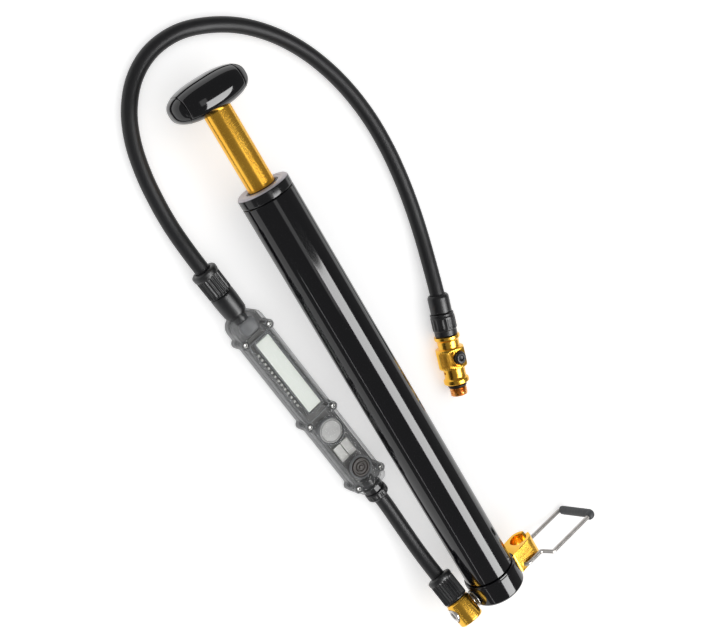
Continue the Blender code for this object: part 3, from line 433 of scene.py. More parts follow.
def nylon():
    look = Finish("nylon", (0.6, 0.6, 0.56), 0.4, 0.0, Subsurface_Weight=0.1,
                  Subsurface_Radius=(0.001, 0.001, 0.001))
    cloud = look.noise(300.0, 3.0)
    look.feed(Base_Color=look.blend(cloud.above(0.5, 0.7), (0.46, 0.46, 0.43), (0.66, 0.66, 0.62)))
    look.feed(Roughness=0.3 + 0.2 * cloud)
    return look.material


def board_finish():
    """The circuit board under smoke-coloured plastic: grey, with the faint lines of its tracks."""
    look = Finish("board", (0.07, 0.072, 0.07), 0.42, 0.0, Specular_IOR_Level=0.15)
    tracks = look.node("ShaderNodeTexBrick", {"offset": 0.5}, {
        "Vector": look.stretched((1.0, 1.0, 1.0)), "Scale": 520.0, "Mortar Size": 0.06,
        "Color1": (0.09, 0.093, 0.09, 1), "Color2": (0.13, 0.133, 0.13, 1),
        "Mortar": (0.16, 0.16, 0.15, 1)})
    look.feed(Base_Color=tracks)
    look.feed(Roughness=0.34 + 0.2 * look.noise(400.0, 2.0))
    return look.material


def display_finish():
    """A reflective liquid crystal display, switched off: pale grey green, with a faint slow sweep of tone, and
    a painted glow: its emission makes it shine though it is unlit.
    """
    # Painted glow: the emission below brightens the switched-off display as if it were lit from within.
    look = Finish("display", (0.8, 0.85, 0.78), 0.16, 0.0, Specular_IOR_Level=0.1,
                  Emission_Color=(0.88, 0.95, 0.86, 1.0), Emission_Strength=0.22)
    sweep = look.noise(26.0, 2.0)
    look.feed(Base_Color=look.blend(sweep.above(0.5, 0.7), (0.9, 0.95, 0.88), (0.95, 0.98, 0.93)))
    look.feed(Roughness=0.12 + 0.06 * look.noise(500.0, 2.0))
    return look.material


def cell_finish():
    """The matt stamped top of a coin cell, with a darker ring near its edge."""
    look = Finish("cell_top", (0.66, 0.66, 0.64), 0.55, 0.0, Specular_IOR_Level=0.12)
    centre = PLACES["gauge"] @ np.array((0, CELL_AT, 0, 1.0))
    x, y, _ = look.split(look.place())
    across, along = x - float(centre[0]), y - float(centre[1])
    spot = (across * across + along * along) ** 0.5
    # The top is darker in a ring near its edge.
    rim = spot.above(0.005, 0.0002) * (1 - spot.above(0.0055, 0.0002))
    cloud = look.noise(420.0, 4.0)
    look.feed(Base_Color=look.blend(rim * 0.7 + cloud.above(0.5, 0.5) * 0.25, (0.88, 0.88, 0.86),
                                    (0.22, 0.22, 0.22)))
    look.feed(Roughness=0.48 + 0.16 * cloud)
    return look.material


def make_looks():
    return {
        "gloss_black": gloss_black(), "collar_grey": collar_finish(), "satin_black": satin_black(),
        "gold": gold("gold_turned"), "rod_gold": gold("gold_rod", 1, (1.0, 0.57, 0.075),
                                                      (0.9, 0.45, 0.05)),
        "copper": copper(), "steel": steel(), "nylon": nylon(), "board": board_finish(),
        "display": display_finish(), "rubber": rubber("hose_rubber", (0.009, 0.009, 0.01), 0.42,
                                                      shine=0.32),
        "grip_rubber": rubber("grip_rubber", (0.06, 0.063, 0.067), 0.58, 0.00006, 0.35),
        "button": rubber("button_rubber", (0.026, 0.021, 0.018), 0.42, 0.00003, 0.3),
        "smoke": clear_shell("smoke_case", (0.115, 0.118, 0.122), 0.5, 0.97),
        "clear": clear_shell("clear_cover", (0.26, 0.265, 0.27), 0.05, 0.92, 0.05),
        "frame": clear_shell("clear_frame", (0.3, 0.31, 0.32), 0.6, 0.98, 0.08),
        "bright": steel("bright_steel", (0.34, 0.34, 0.33), 0.24),
        "white": cell_finish(),
    }


LOOKS = make_looks()


# --- surfaces ---
class Shape:
    """Grids of points gathered into one mesh."""

    def __init__(self):
        self.points = []
        self.faces = []

    def add(self, grid, matrix=None, ring=False):
        """Faces over a grid of rows by columns. The last column joins the first, and with ring the last row
        does too."""
        rows, columns = grid.shape[:2]
        start = sum(len(p) for p in self.points)
        flat = grid.reshape(-1, 3)
        if matrix is not None:
            flat = flat @ matrix[:3, :3].T + matrix[:3, 3]
        self.points.append(flat)
        i = np.arange(rows if ring else rows - 1)[:, None]
        j = np.arange(columns)[None, :]
        a = i * columns + j
        b = i * columns + (j + 1) % columns
        c = (i + 1) % rows * columns + (j + 1) % columns
        d = (i + 1) % rows * columns + j
        quads = np.stack(np.broadcast_arrays(a, b, c, d), axis=-1).reshape(-1, 4) + start
        self.faces.append(quads)
        return self

    def piece(self, name, slot, body, replaced=(), angle=32.0, look=None):
        """A shown object: doubles merged, faces outwards, edges sharper than the angle kept sharp. Its
        look is the slot's own unless another is named."""
        mesh = bpy.data.meshes.new(name)
        mesh.from_pydata(np.concatenate(self.points).tolist(), [], np.concatenate(self.faces).tolist())
        bm = bmesh.new()
        bm.from_mesh(mesh)
        bmesh.ops.remove_doubles(bm, verts=bm.verts, dist=2e-7)
        bmesh.ops.dissolve_degenerate(bm, edges=bm.edges, dist=1e-8)
        bmesh.ops.recalc_face_normals(bm, faces=bm.faces)
        bm.to_mesh(mesh)
        bm.free()
        mesh.shade_smooth()
        mesh.set_sharp_from_angle(angle=math.radians(angle))
        mesh.materials.append(LOOKS[look or slot])
        obj = bpy.data.objects.new(name, mesh)
        bpy.context.collection.objects.link(obj)
        if replaced:
            nodes = (replaced,) if isinstance(replaced, str) else replaced
            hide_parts(*nodes)
        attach(obj, body)
        return obj


def rounded(profile, default=0.00025, steps=4, ring=False):
    """The profile with each corner turned into a curve that starts a fillet's length before the corner and
    ends as far past it. A point may give its own fillet as a third number."""
    points = [np.array(p[:2], float) for p in profile]
    sizes = [p[2] if len(p) > 2 else default for p in profile]
    count = len(points)
    result = []
    for i, corner in enumerate(points):
        if not ring and i in (0, count - 1):
            result.append(corner)
            continue
        before, after = points[i - 1], points[(i + 1) % count]
        back, ahead = before - corner, after - corner
        reach = min(sizes[i], 0.45 * np.linalg.norm(back), 0.45 * np.linalg.norm(ahead))
        if reach < 1e-6:
            result.append(corner)
            continue
        start = corner + back / np.linalg.norm(back) * reach
        end = corner + ahead / np.linalg.norm(ahead) * reach
        t = np.linspace(0, 1, steps + 1)[:, None]
        result.extend((1 - t) ** 2 * start + 2 * t * (1 - t) * corner + t ** 2 * end)
    return np.array(result)


def dense(profile, spacing):
    """The profile with points added, so that no two are further apart than the spacing."""
    result = [profile[0]]
    for a, b in zip(profile, profile[1:]):
        count = max(1, math.ceil(np.linalg.norm(b - a) / spacing))
        result.extend(a + (b - a) * k / count for k in range(1, count + 1))
    return np.array(result)


def turned(profile, columns=96, ring=False, relief=None, fillet=0.00025, spacing=None):
    """A surface of revolution: radius and height follow the profile, and the angle goes once around. Relief
    takes the angle, height and radius, and returns the angle and radius of each point."""
    line = rounded(profile, fillet, ring=ring)
    if spacing:
        line = dense(line, spacing)
    radius, angle = np.meshgrid(line[:, 0], np.arange(columns) * 2 * np.pi / columns, indexing="ij")
    height = np.repeat(line[:, 1][:, None], columns, axis=1)
    if relief:
        angle, radius = relief(angle, height, radius)
    return np.stack((radius * np.cos(angle), radius * np.sin(angle), height), axis=-1)


def lathe(profile, columns, place, *labels, look=None, **shape):
    """A turned piece on its place."""
    return Shape().add(turned(profile, columns, **shape), place).piece(*labels, look=look)


def band(height, low, high, soft=0.0003):
    """1 between two heights, falling to 0 over the soft length outside them."""
    rise = np.clip((height - low) / soft + 1, 0, 1)
    fall = np.clip((high - height) / soft + 1, 0, 1)
    return rise * fall


def ribs(count, depth, low, high, outer, power=1.0):
    """Relief of straight grooves: the radius loses the depth times a cosine of the angle, in a band."""
    def relief(angle, height, radius):
        groove = (0.5 - 0.5 * np.cos(count * angle)) ** power
        near = radius > outer - 0.0006
        return angle, radius - depth * groove * band(height, low, high) * near
    return relief


def knurl(count, depth, low, high, lead, outer):
    """Relief of slanting grooves: the columns turn as they rise, and a cosine across them cuts them."""
    def relief(angle, height, radius):
        turn = np.clip(height - low, 0, high - low) / lead
        groove = (0.5 - 0.5 * np.cos(count * angle)) ** 0.8
        near = radius > outer - 0.0004
        return angle + turn, radius - depth * groove * band(height, low, high, 0.0001) * near
    return relief


def route_points(points, spacing=0.002):
    """Points at an even spacing along a Catmull-Rom curve through the route's own points."""
    knots = np.array(points, float)
    knots = np.concatenate(([2 * knots[0] - knots[1]], knots, [2 * knots[-1] - knots[-2]]))
    t = np.linspace(0, 1, 40, endpoint=False)[None, :, None]
    a, b, c, d = (knots[i:len(knots) - 3 + i][:, None, :] for i in range(4))
    square, cube = 2 * a - 5 * b + 4 * c - d, 3 * b - a - 3 * c + d
    curve = 0.5 * (2 * b + (c - a) * t + square * t ** 2 + cube * t ** 3)
    curve = np.concatenate((curve.reshape(-1, 3), knots[-2:-1]))
    run = np.concatenate(([0], np.cumsum(np.linalg.norm(np.diff(curve, axis=0), axis=1))))
    even = np.linspace(0, run[-1], max(2, round(run[-1] / spacing)) + 1)
    return np.stack([np.interp(even, run, curve[:, k]) for k in range(3)], axis=1)


def tube(path, radius, columns=32):
    """A tube: a circle carried along the path, turned at each step only as far as the path turns. The radius
    may change along the path, and the ends close on their middle."""
    path = np.array(path, float)
    ahead = np.gradient(path, axis=0)
    ahead /= np.linalg.norm(ahead, axis=1)[:, None]
    side = np.zeros_like(path)
    start = np.cross(ahead[0], (0, 0, 1.0))
    if np.linalg.norm(start) < 0.1:
        start = np.cross(ahead[0], (1.0, 0, 0))
    for i in range(len(path)):
        start = start - ahead[i] * ahead[i].dot(start)
        start /= np.linalg.norm(start)
        side[i] = start
    up = np.cross(ahead, side)
    radii = np.broadcast_to(radius, len(path))
    order = np.concatenate(([0], np.arange(len(path)), [len(path) - 1]))
    path, side, up = path[order], side[order], up[order]
    radii = np.concatenate(([0], radii, [0]))
    angle = np.arange(columns) * 2 * np.pi / columns
    ring = side[:, None, :] * np.cos(angle)[None, :, None] + up[:, None, :] * np.sin(angle)[None, :, None]
    return path[:, None, :] + ring * radii[:, None, None]


def bent(corners, radius, steps=10):
    """A polyline whose inner corners are arcs of the given radius."""
    corners = np.array(corners, float)
    path = [corners[0]]
    for before, corner, after in zip(corners, corners[1:], corners[2:]):
        into = (corner - before) / np.linalg.norm(corner - before)
        out = (after - corner) / np.linalg.norm(after - corner)
        half = math.acos(np.clip(into.dot(out), -1, 1)) / 2
        start = corner - into * radius * math.tan(half)
        inward = out - into * into.dot(out)
        middle = start + inward / np.linalg.norm(inward) * radius
        sweep = np.linspace(0, 2 * half, steps)[:, None]
        path.extend(middle + (start - middle) * np.cos(sweep) + into * radius * np.sin(sweep))
    path.append(corners[-1])
    return np.array(path)


def moved(points, matrix):
    return np.asarray(points, float) @ matrix[:3, :3].T + matrix[:3, 3]


def super_oval(half, rows, power, columns=96):
    """Rows of a rounded oval along x. At each x the section is |y/b|^p + |z/c|^p = 1 - |x/a|^p."""
    a, b, c = half
    angle = np.arange(columns) * 2 * np.pi / columns
    y, z = np.cos(angle), np.sin(angle)
    size = (np.abs(y) ** power + np.abs(z) ** power) ** (1 / power)
    x = np.array(rows, float)[:, None]
    scale = np.clip(1 - np.abs(x / a) ** power, 0, None) ** (1 / power)
    return np.stack(np.broadcast_arrays(x, scale * b * (y / size)[None, :],
                                        scale * c * (z / size)[None, :]), axis=-1)


def slab(width, length, low, high, corner, fillet=0.0003, centre=(0.0, 0.0), columns=64):
    """A block with rounded corners in plan and filleted edges. The plan is a rounded rectangle drawn in by
    each row's inset, and the first and last rows close on the middle."""
    line = rounded([(1.0, low), (0.0, low, fillet), (0.0, high, fillet), (1.0, high)], 0)
    rows = []
    for inset, height in line:
        if inset == 1.0:
            rows.append(np.array([[*centre, height]] * columns))
        else:
            rows.append(plan(width, length, corner, inset, height, centre, columns))
    return np.stack(rows)


def plan(width, length, corner, inset, height, centre, columns):
    """A rounded rectangle at one height: four quarter circles joined by straight sides."""
    radius = max(corner - inset, 0.00003)
    angle = (np.arange(columns) + 0.5) * 2 * np.pi / columns
    x = radius * np.cos(angle) + np.sign(np.cos(angle)) * (width / 2 - inset - radius)
    y = radius * np.sin(angle) + np.sign(np.sin(angle)) * (length / 2 - inset - radius)
    return np.stack((x + centre[0], y + centre[1], np.full(columns, height)), axis=1)


def frame_ring(width, length, wall, low, high, corner, centre=(0, 0), fillet=0.0002, columns=64):
    """A rectangular frame: the plan's outline at each inset and height of a closed profile."""
    line = rounded([(0, low), (0, high), (wall, high), (wall, low)], fillet, ring=True)
    return np.stack([plan(width, length, corner, inset, height, centre, columns) for inset,
                     height in line])


# --- hoses ---
def make_hoses():
    """Both hoses: a tube of constant diameter along its route, closed flat at each end."""
    made = []
    for name, route in (("lower", LOWER_HOSE), ("upper", UPPER_HOSE)):
        path = moved(route_points(route), PLACES["ground"])
        shape = Shape().add(tube(path, HOSE_D / 2, 40))
        made.append((shape.piece(f"{name}_hose_tube", "rubber", "hose_assembly", f"{name}_hose", 50),
                     path))
    return made


# --- pump ---
def make_barrel():
    pump = PLACES["pump"]
    foot = BASE_HEIGHT + GAP
    tube_wall = [(0.013, foot, 0.0006), (0.013, BARREL_TOP, 0.0004), (0.011, BARREL_TOP), (0.011, foot)]
    lathe(tube_wall, 192, pump, "barrel_tube", "gloss_black", "pump_body", "barrel", ring=True)
    cap = [(0, 0), (0.0095, 0, 0.0002), (0.01, 0.0004, 0.0002), (0.0128, 0.0004, 0.0004),
           (0.014, 0.0017, 0.0006),
           (0.014, 0.0118, 0.0004), (0.0137, 0.0124, 0.0002), (0.0137, BASE_HEIGHT, 0.0002),
           (0.0107, BASE_HEIGHT), (0.0107, 0.0185), (0.0084, 0.0185), (0.0084, 0.0215), (0.0107, 0.0215),
           (0.0107, 0.027), (0, 0.027)]
    lathe(cap, 160, pump, "base_foot", "gloss_black", "pump_body", "base_cap")
    inner = 0.008
    collar = [(inner, COLLAR_TOP - 0.012), (0.0107, COLLAR_TOP - 0.012), (0.0107, BARREL_TOP + GAP),
              (0.0127, BARREL_TOP + GAP, 0.0002), (0.013, BARREL_TOP + 0.0008, 0.0004),
              (0.013, COLLAR_TOP - 0.0009, 0.0005),
              (0.0121, COLLAR_TOP, 0.0005), (0.0099, COLLAR_TOP, 0.0002),
              (0.0096, COLLAR_TOP - 0.0003, 0.0002),
              (inner + 0.0003, COLLAR_TOP - 0.0003, 0.0003), (inner, COLLAR_TOP - 0.0009)]
    lathe(collar, 160, pump, "collar_ring", "collar_grey", "pump_body", "top_collar", ring=True)
    wiper = [(0.00715, COLLAR_TOP - 0.0024), (0.0078, COLLAR_TOP - 0.0024),
             (0.0078, COLLAR_TOP - 0.0007, 0.0002),
             (0.0074, COLLAR_TOP - 0.0002, 0.0003), (0.00715, COLLAR_TOP - 0.0002, 0.0001)]
    lathe(wiper, 128, pump, "rod_wiper", "satin_black", "pump_body", "wiper_seal", ring=True)


def make_handle():
    grip = PLACES["grip"]
    outer = 0.00675
    bore = 0.00515
    rod = [(bore, ROD_FOOT), (outer, ROD_FOOT), (outer, ROD_TOP), (0.0029, ROD_TOP),
           (0.0029, ROD_TOP - 0.012),
           (bore, ROD_TOP - 0.012)]
    lathe(rod, 144, grip, "rod_tube", "gold", "handle", "rod", look="rod_gold", ring=True)
    half = (0.0194, 0.01375, 0.0084)
    power = 2.6
    middle = axes(grip, (0, 0, HANDLE_MIDDLE))
    joint = 0.0144
    groove = 0.00012
    rows = np.linspace(-joint, joint, 72)
    body = super_oval(half, rows, power)
    body = close_flat(body, groove)
    Shape().add(body, middle).piece("handle_knob", "gloss_black", "handle", "handle_body", 60)
    sweep = np.linspace(0, 1, 28)
    for name, sign in (("right", 1), ("left", -1)):
        start = joint + GAP
        rows = start + (half[0] - start) * np.sin(sweep * np.pi / 2)
        cap = close_flat(super_oval(half, rows, power), groove, last=False)
        cap[..., 0] *= sign
        Shape().add(cap, middle).piece(f"handle_end_{name}", "gloss_black", "handle",
                                       f"handle_cap_{name}", 60)


def close_flat(grid, fillet, last=True):
    """Closes the first row, and the last, with a small rounded edge and a flat face."""
    def face(row, step):
        centre = row.mean(axis=0)
        away = centre + (row - centre) * (1 - fillet / 0.008) + np.array((step * fillet, 0, 0))
        return [away, np.repeat(centre[None] + np.array((step * fillet, 0, 0)), len(row), axis=0)]
    step = -1 if grid[1, 0, 0] > grid[0, 0, 0] else 1
    rows = face(grid[0], 0)[::-1]
    rows[1] = face(grid[0], step)[0] - np.array((step * fillet, 0, 0))
    grid_rows = rows + [row for row in grid[1:]]
    if last:
        end = face(grid[-1], 0)
        grid_rows = grid_rows[:-1] + [end[0], end[1]]
    return np.stack(grid_rows)


def make_peg():
    """The foot peg: a wire bent into a loop with a step in each leg, and a rubber sleeve on its outer bar that
    runs a little way round its upper corner. The sleeve's radius follows a flat-topped curve."""
    pivot = PLACES["pivot"]
    neck, side, reach, drop = 0.0079, 0.0115, 0.048, 0.003
    leg = [(0, 0, 0.0008), (0, 0, neck), (0.0112, 0, neck), (0.0154, drop, side), (reach, drop, side)]
    loop = leg + [(x, y, -z) for x, y, z in reversed(leg)]
    path = dense(bent(loop, 0.0018, 12), 0.0006)
    Shape().add(tube(moved(path, pivot), 0.0011, 28)).piece("peg_loop", "steel", "foot_peg", "peg_wire",
                                                            50)
    upper = path[:, 2] < 0
    bar = path[path[:, 0] > reach - np.where(upper, 0.003, 0.0003)]
    run = np.concatenate(([0], np.cumsum(np.linalg.norm(np.diff(bar, axis=0), axis=1))))
    even = np.linspace(0, run[-1], 70)
    bar = np.stack([np.interp(even, run, bar[:, k]) for k in range(3)], axis=1)
    t = np.linspace(-1, 1, 70)
    radius = 0.0023 * (1 - 0.22 * np.abs(t) ** 24) + 0.00006 * np.sin(t * 40) * (np.abs(t) < 0.9)
    Shape().add(tube(moved(bar, pivot), radius, 40)).piece("peg_sleeve", "grip_rubber", "foot_peg",
                                                           "peg_grip", 60)


def make_bracket():
    """The foot peg's bracket. In plan, each angle about the eye reaches to the round end, to the flat side or
    to the barrel's saddle, whichever comes first. The profile goes round the section from eye to edge."""
    foot, top = 0.0006, 0.012
    eye, half, bore, saddle = 0.0243, 0.0065, 0.0045, 0.0143
    angle = np.arange(360) * 2 * np.pi / 360
    x, y = np.cos(angle), np.sin(angle)
    reach = np.where(x >= 0, half, half / np.maximum(np.abs(y), 1e-6))
    across = eye * x
    inside = across ** 2 - (eye ** 2 - saddle ** 2)
    to_saddle = np.where((inside > 0) & (x < 0), -across - np.sqrt(np.maximum(inside, 0)), 1.0)
    reach = np.minimum(reach, to_saddle)
    profile = [(0, foot + 0.0004), (0.04, foot + 0.0001), (0.1, foot), (0.9, foot), (0.97, foot + 0.0002),
               (1, foot + 0.0006), (1, foot + 0.003), (1, top - 0.004), (1, top - 0.0008),
               (0.97, top - 0.0002),
               (0.9, top), (0.12, top), (0.04, top - 0.0001), (0, top - 0.0005)]
    share, height = (np.array(profile)[:, k][:, None] for k in (0, 1))
    radius = bore + (reach - bore)[None, :] * share
    notch = np.exp(-(np.minimum(angle, 2 * np.pi - angle)[None, :] / 0.24) ** 6) * (height > foot + 0.006)
    grid = np.stack((eye + radius * x, radius * y, height - 0.0034 * notch), axis=-1)
    Shape().add(grid, PLACES["pump"], ring=True).piece("peg_clevis", "gold", "pump_body", "peg_bracket",
                                                       40)


def make_banjo():
    banjo = PLACES["banjo"]
    tail, nose, outer = -0.00725, 0.00525, 0.0065
    body = [(0, tail), (outer - 0.0007, tail, 0.0002), (outer, tail + 0.0007, 0.0003),
            (outer, nose - 0.0009, 0.0002),
            (outer - 0.0003, nose - 0.0006, 0.0002), (outer - 0.0003, nose, 0.0002), (0.004, nose),
            (0.004, nose + 0.006), (0, nose + 0.006)]
    knob = lathe(body, 144, banjo, "banjo_body", "gold", "hose_assembly", "banjo")
    port = PLACES["port"]
    head = BANJO_REACH + 0.0065 - 0.0024 + GAP
    top = head + 0.0022
    carve(knob, [(port, 0.004, head - GAP, head + 0.006)])
    bolt = [(0, 0.006), (0.00225, 0.006), (0.00225, head), (0.0036, head, 0.0002),
            (0.0036, top - 0.0004, 0.0004),
            (0.0031, top, 0.0003), (0.0022, top, 0.0001), (0.0021, top - 0.0003, 0.0001),
            (0.0021, top - 0.0016),
            (0, top - 0.0016)]

    def hexagon(angle, height, radius):
        """Six flats in the socket. The radius times the cosine of the angle to a flat is constant."""
        turn = (angle + np.pi / 6) % (np.pi / 3) - np.pi / 6
        inside = (height > top - 0.0017) & (radius < 0.00225) & (radius > 0.0001) & (height < top - 0.0001)
        return angle, np.where(inside, radius * 0.9 / np.cos(turn), radius)

    lathe(bolt, 96, port, "banjo_screw", "steel", "pump_body", "banjo_bolt", 25, relief=hexagon,
          fillet=0.0001)
    washer = [(0.0026, 0.0141), (0.0046, 0.0141), (0.0046, 0.0145), (0.0026, 0.0145)]
    lathe(washer, 96, port, "port_ring", "steel", "pump_body", "port_washer", look="bright", ring=True,
          fillet=0.0001)
    low = nose + GAP
    high = low + 0.0145
    rim = 0.0066
    collar = [(0.0043, low), (rim - 0.0008, low, 0.0003), (rim - 0.0002, low + 0.0006, 0.0003),
              (rim - 0.0002, high - 0.0026, 0.0003),
              (rim, high - 0.002, 0.0003), (rim, high - 0.0006, 0.0005), (rim - 0.0008, high, 0.0003),
              (0.0041, high, 0.0002),
              (0.0041, low + 0.009), (0.0043, low + 0.006)]
    grooves = ribs(26, 0.0005, low + 0.0009, high - 0.003, rim, 0.7)
    lathe(collar, 260, banjo, "hose_grip_collar", "satin_black", "hose_assembly", "hose_collar", 60,
          ring=True, relief=grooves, spacing=0.0006)


# --- gauge ---
CASE_HALF = 0.0082
CASE_BOSS = 0.0024


def half_width(y, inset):
    """Half the case's width at each y: the rounded body and the screw bosses' circles, blended by a smooth
    maximum, all drawn in by the inset."""
    top, bottom = GAUGE_TOP - inset, -GAUGE_BOTTOM + inset
    top_round, foot_round = max(0.0062 - inset, 0.001), max(0.0034 - inset, 0.001)
    body = np.full_like(y, CASE_HALF - inset)
    near_top = np.clip(y - (top - top_round), 0, top_round)
    near_foot = np.clip((bottom + foot_round) - y, 0, foot_round)
    body -= top_round - np.sqrt(np.clip(top_round ** 2 - near_top ** 2, 0, None))
    body -= foot_round - np.sqrt(np.clip(foot_round ** 2 - near_foot ** 2, 0, None))
    radius = CASE_BOSS - inset
    for row in BOSS_ROWS:
        away = np.abs(y - row)
        round_part = np.sqrt(np.clip(radius ** 2 - away ** 2, 0, None))
        boss = BOSS_REACH + round_part - np.clip(away - radius, 0, None) * 1.5
        body = 0.5 * (body + boss + np.sqrt((body - boss) ** 2 + 0.0004 ** 2))
    return body


def case_row(inset, height, on_axis=False):
    """The case's outline at one inset and height, up its right side and down its left. On the axis, both
    sides close on the middle line."""
    t = np.linspace(0, 1, 340)
    t = t - 0.006 * np.sin(2 * np.pi * t)
    low, high = -GAUGE_BOTTOM + inset, GAUGE_TOP - inset
    y = low + (high - low) * t
    x = np.zeros_like(y) if on_axis else half_width(y, inset)
    z = np.full_like(y, height)
    right = np.stack((x, y, z), axis=1)
    left = np.stack((-x, y, z), axis=1)[::-1]
    return np.concatenate((right, left))


def case_surface(profile, fillet=0.0003):
    """The outline carried round a profile of inset and height that starts and ends on the middle line."""
    line = rounded(profile, fillet, 5)
    rows = [case_row(inset, height) for inset, height in line]
    rows[0] = case_row(line[1][0], line[0][1], True)
    rows[-1] = case_row(line[-2][0], line[-1][1], True)
    return np.stack(rows)


def carve(obj, cutters):
    """Cuts round holes: a Boolean with one mesh of closed cylinders, applied, and the cutter removed. Each
    hole is a matrix, whose z is the hole's axis, a radius, and the heights that it runs between."""
    shape = Shape()
    for where, radius, low, high in cutters:
        shape.add(turned([(0, low), (radius, low), (radius, high), (0, high)], 40, fillet=0), where)
    tool = shape.piece("cutting_tool", "clear", "hose_assembly")
    tool.parent = None
    set_matrix(tool, np.eye(4))
    change = obj.modifiers.new("holes", "BOOLEAN")
    change.operation = "DIFFERENCE"
    change.solver = "EXACT"
    change.object = tool
    bpy.context.view_layer.update()
    graph = bpy.context.evaluated_depsgraph_get()
    mesh = bpy.data.meshes.new_from_object(obj.evaluated_get(graph))
    obj.modifiers.clear()
    obj.data = mesh
    mesh.shade_smooth()
    mesh.set_sharp_from_angle(angle=math.radians(32))
    bpy.data.objects.remove(tool, do_unlink=True)


def boss_places():
    return [(x, y) for y in BOSS_ROWS for x in (-BOSS_REACH, BOSS_REACH)]


def make_case():
    gauge = PLACES["gauge"]
    split, wall = 0.0072, 0.0013
    case = case_surface([(0.006, 0), (0, 0, 0.0012), (0, split, 0.0003), (wall, split, 0.0002),
                         (wall, wall, 0.0004), (0.006, wall)])
    Shape().add(case, gauge).piece("case_lower", "smoke", "hose_assembly", "gauge_case", 40)
    low, top = split + GAP, 0.013
    plate = top - 0.0004
    cover = case_surface([(0.006, plate - wall), (wall, plate - wall, 0.0004), (wall, low, 0.0002),
                          (0, low, 0.0003),
                          (0, top, 0.0014), (0.0015, top, 0.0002), (0.0018, plate, 0.0002),
                          (0.006, plate)])
    shell = Shape().add(cover, gauge).piece("case_cover", "clear", "hose_assembly", "gauge_cover", 40)
    holes = [(axes(gauge, (0, BUTTON_AT, 0)), 0.0051, 0.01, 0.015)]
    holes += [(axes(gauge, (x, y, 0)), 0.0018, 0.0114, 0.015) for x, y in boss_places()]
    carve(shell, holes)
    return shell


def torx(angle, height, radius):
    """Six lobes in the socket, from a cosine of six times the angle."""
    inside = (radius < 0.00085) & (radius > 0.0001)
    return angle, np.where(inside, radius * (1 + 0.16 * np.cos(6 * angle)), radius)


def make_screws():
    """Six screws with domed heads and lobed sockets."""
    top = 0.0129
    head = 0.0115
    profile = [(0, 0.0026), (0.0009, 0.0026), (0.0009, head), (0.00155, head, 0.0001),
               (0.00155, top - 0.0007, 0.0004),
               (0.0011, top - 0.0001, 0.0004), (0.00078, top, 0.0001), (0.0007, top - 0.0002, 0.0001),
               (0.0007, top - 0.0009), (0, top - 0.0009)]
    ring = [(0.00185, 0.0114), (0.00205, 0.0114), (0.00205, 0.0129, 0.0001), (0.00185, 0.0129, 0.0001)]
    screws, seats = Shape(), Shape()
    for x, y in boss_places():
        where = axes(PLACES["gauge"], (x, y, 0))
        screws.add(turned(profile, 48, relief=torx, fillet=0.0001), where)
        seats.add(turned(ring, 48, ring=True), where)
    nodes = tuple(f"gauge_screw_{number}" for number in range(1, 7))
    screws.piece("cover_screws", "steel", "hose_assembly", nodes, 30, look="bright")
    seats.piece("screw_seats", "clear", "hose_assembly", (), 40, look="frame")


def make_gauge_inside():
    gauge = PLACES["gauge"]
    board_top = 0.007
    wide, long, middle = 0.008, 0.043, (0.0013, 0.026)
    Shape().add(slab(wide, long, board_top + GAP, 0.0091, 0.0004, 0.0002, middle),
                gauge).piece("display_glass", "display", "hose_assembly", "gauge_display", 30)
    Shape().add(frame_ring(wide + 0.002, long + 0.0026, 0.0009, board_top + GAP, 0.0097, 0.0009, middle),
                gauge).piece("display_frame", "clear", "hose_assembly", (), 40, look="frame")
    Shape().add(frame_ring(0.0142, 0.0492, 0.0006, 0.0122, 0.013, 0.0016, (0, 0.0262)),
                gauge).piece("window_bead", "clear", "hose_assembly", (), 40, look="frame")
    pins = Shape()
    for k in range(13):
        y = 0.0425 - 0.00262 * k
        pins.add(slab(0.0011, 0.0012, board_top + GAP, 0.009, 0.0003, 0.0002, (-0.0047, y), columns=16),
                 gauge)
    pins.piece("display_pins", "nylon", "hose_assembly", (), 30)
    Shape().add(slab(0.0026, 0.036, board_top + GAP, 0.0079, 0.0003, 0.0001, (-0.0047, 0.0268)),
                gauge).piece("pin_carrier", "board", "hose_assembly", (), 30)
    sensor = Shape()
    for x in (-0.00235, 0.00235):
        sensor.add(slab(0.0044, 0.0086, board_top + GAP, 0.0086, 0.0004, 0.0002, (x, BUTTON_AT + 0.0108)),
                   gauge)
    sensor.piece("sensor_blocks", "nylon", "hose_assembly", "pressure_sensor", 30)
    cell = axes(gauge, (0, CELL_AT, 0))
    face = 0.0105
    coin = [(0, board_top + GAP), (0.0058, board_top + GAP, 0.0003), (0.006, board_top + 0.0006, 0.0003),
            (0.006, face - 0.0004, 0.0004), (0.0056, face, 0.0003), (0.0053, face, 0.0001),
            (0.0051, face - 0.00015, 0.0001), (0, face - 0.00015)]
    lathe(coin, 128, cell, "coin_can", "steel", "hose_assembly", "coin_cell", 30, look="white")
    ring = [(0.0063, board_top + GAP), (0.00688, board_top + GAP), (0.00688, 0.0112, 0.0002),
            (0.0063, 0.0112, 0.0002)]
    lathe(ring, 128, cell, "cell_collar", "clear", "hose_assembly", "cell_ring", 40, look="frame",
          ring=True)
    make_dome()
    make_button()


def make_dome():
    """A rounded box over the air way, under the case's top end: a rounded oval whose power squares it."""
    rows = np.sin(np.linspace(-1, 1, 33) * np.pi / 2) * 0.0046
    grid = super_oval((0.0046, 0.0036, 0.0019), rows, 4.0, 64)
    Shape().add(grid, axes(PLACES["gauge"], (0, 0.0568, 0.01))).piece("airway_block", "clear",
                                                                      "hose_assembly", (), 40,
                                                                      look="frame")


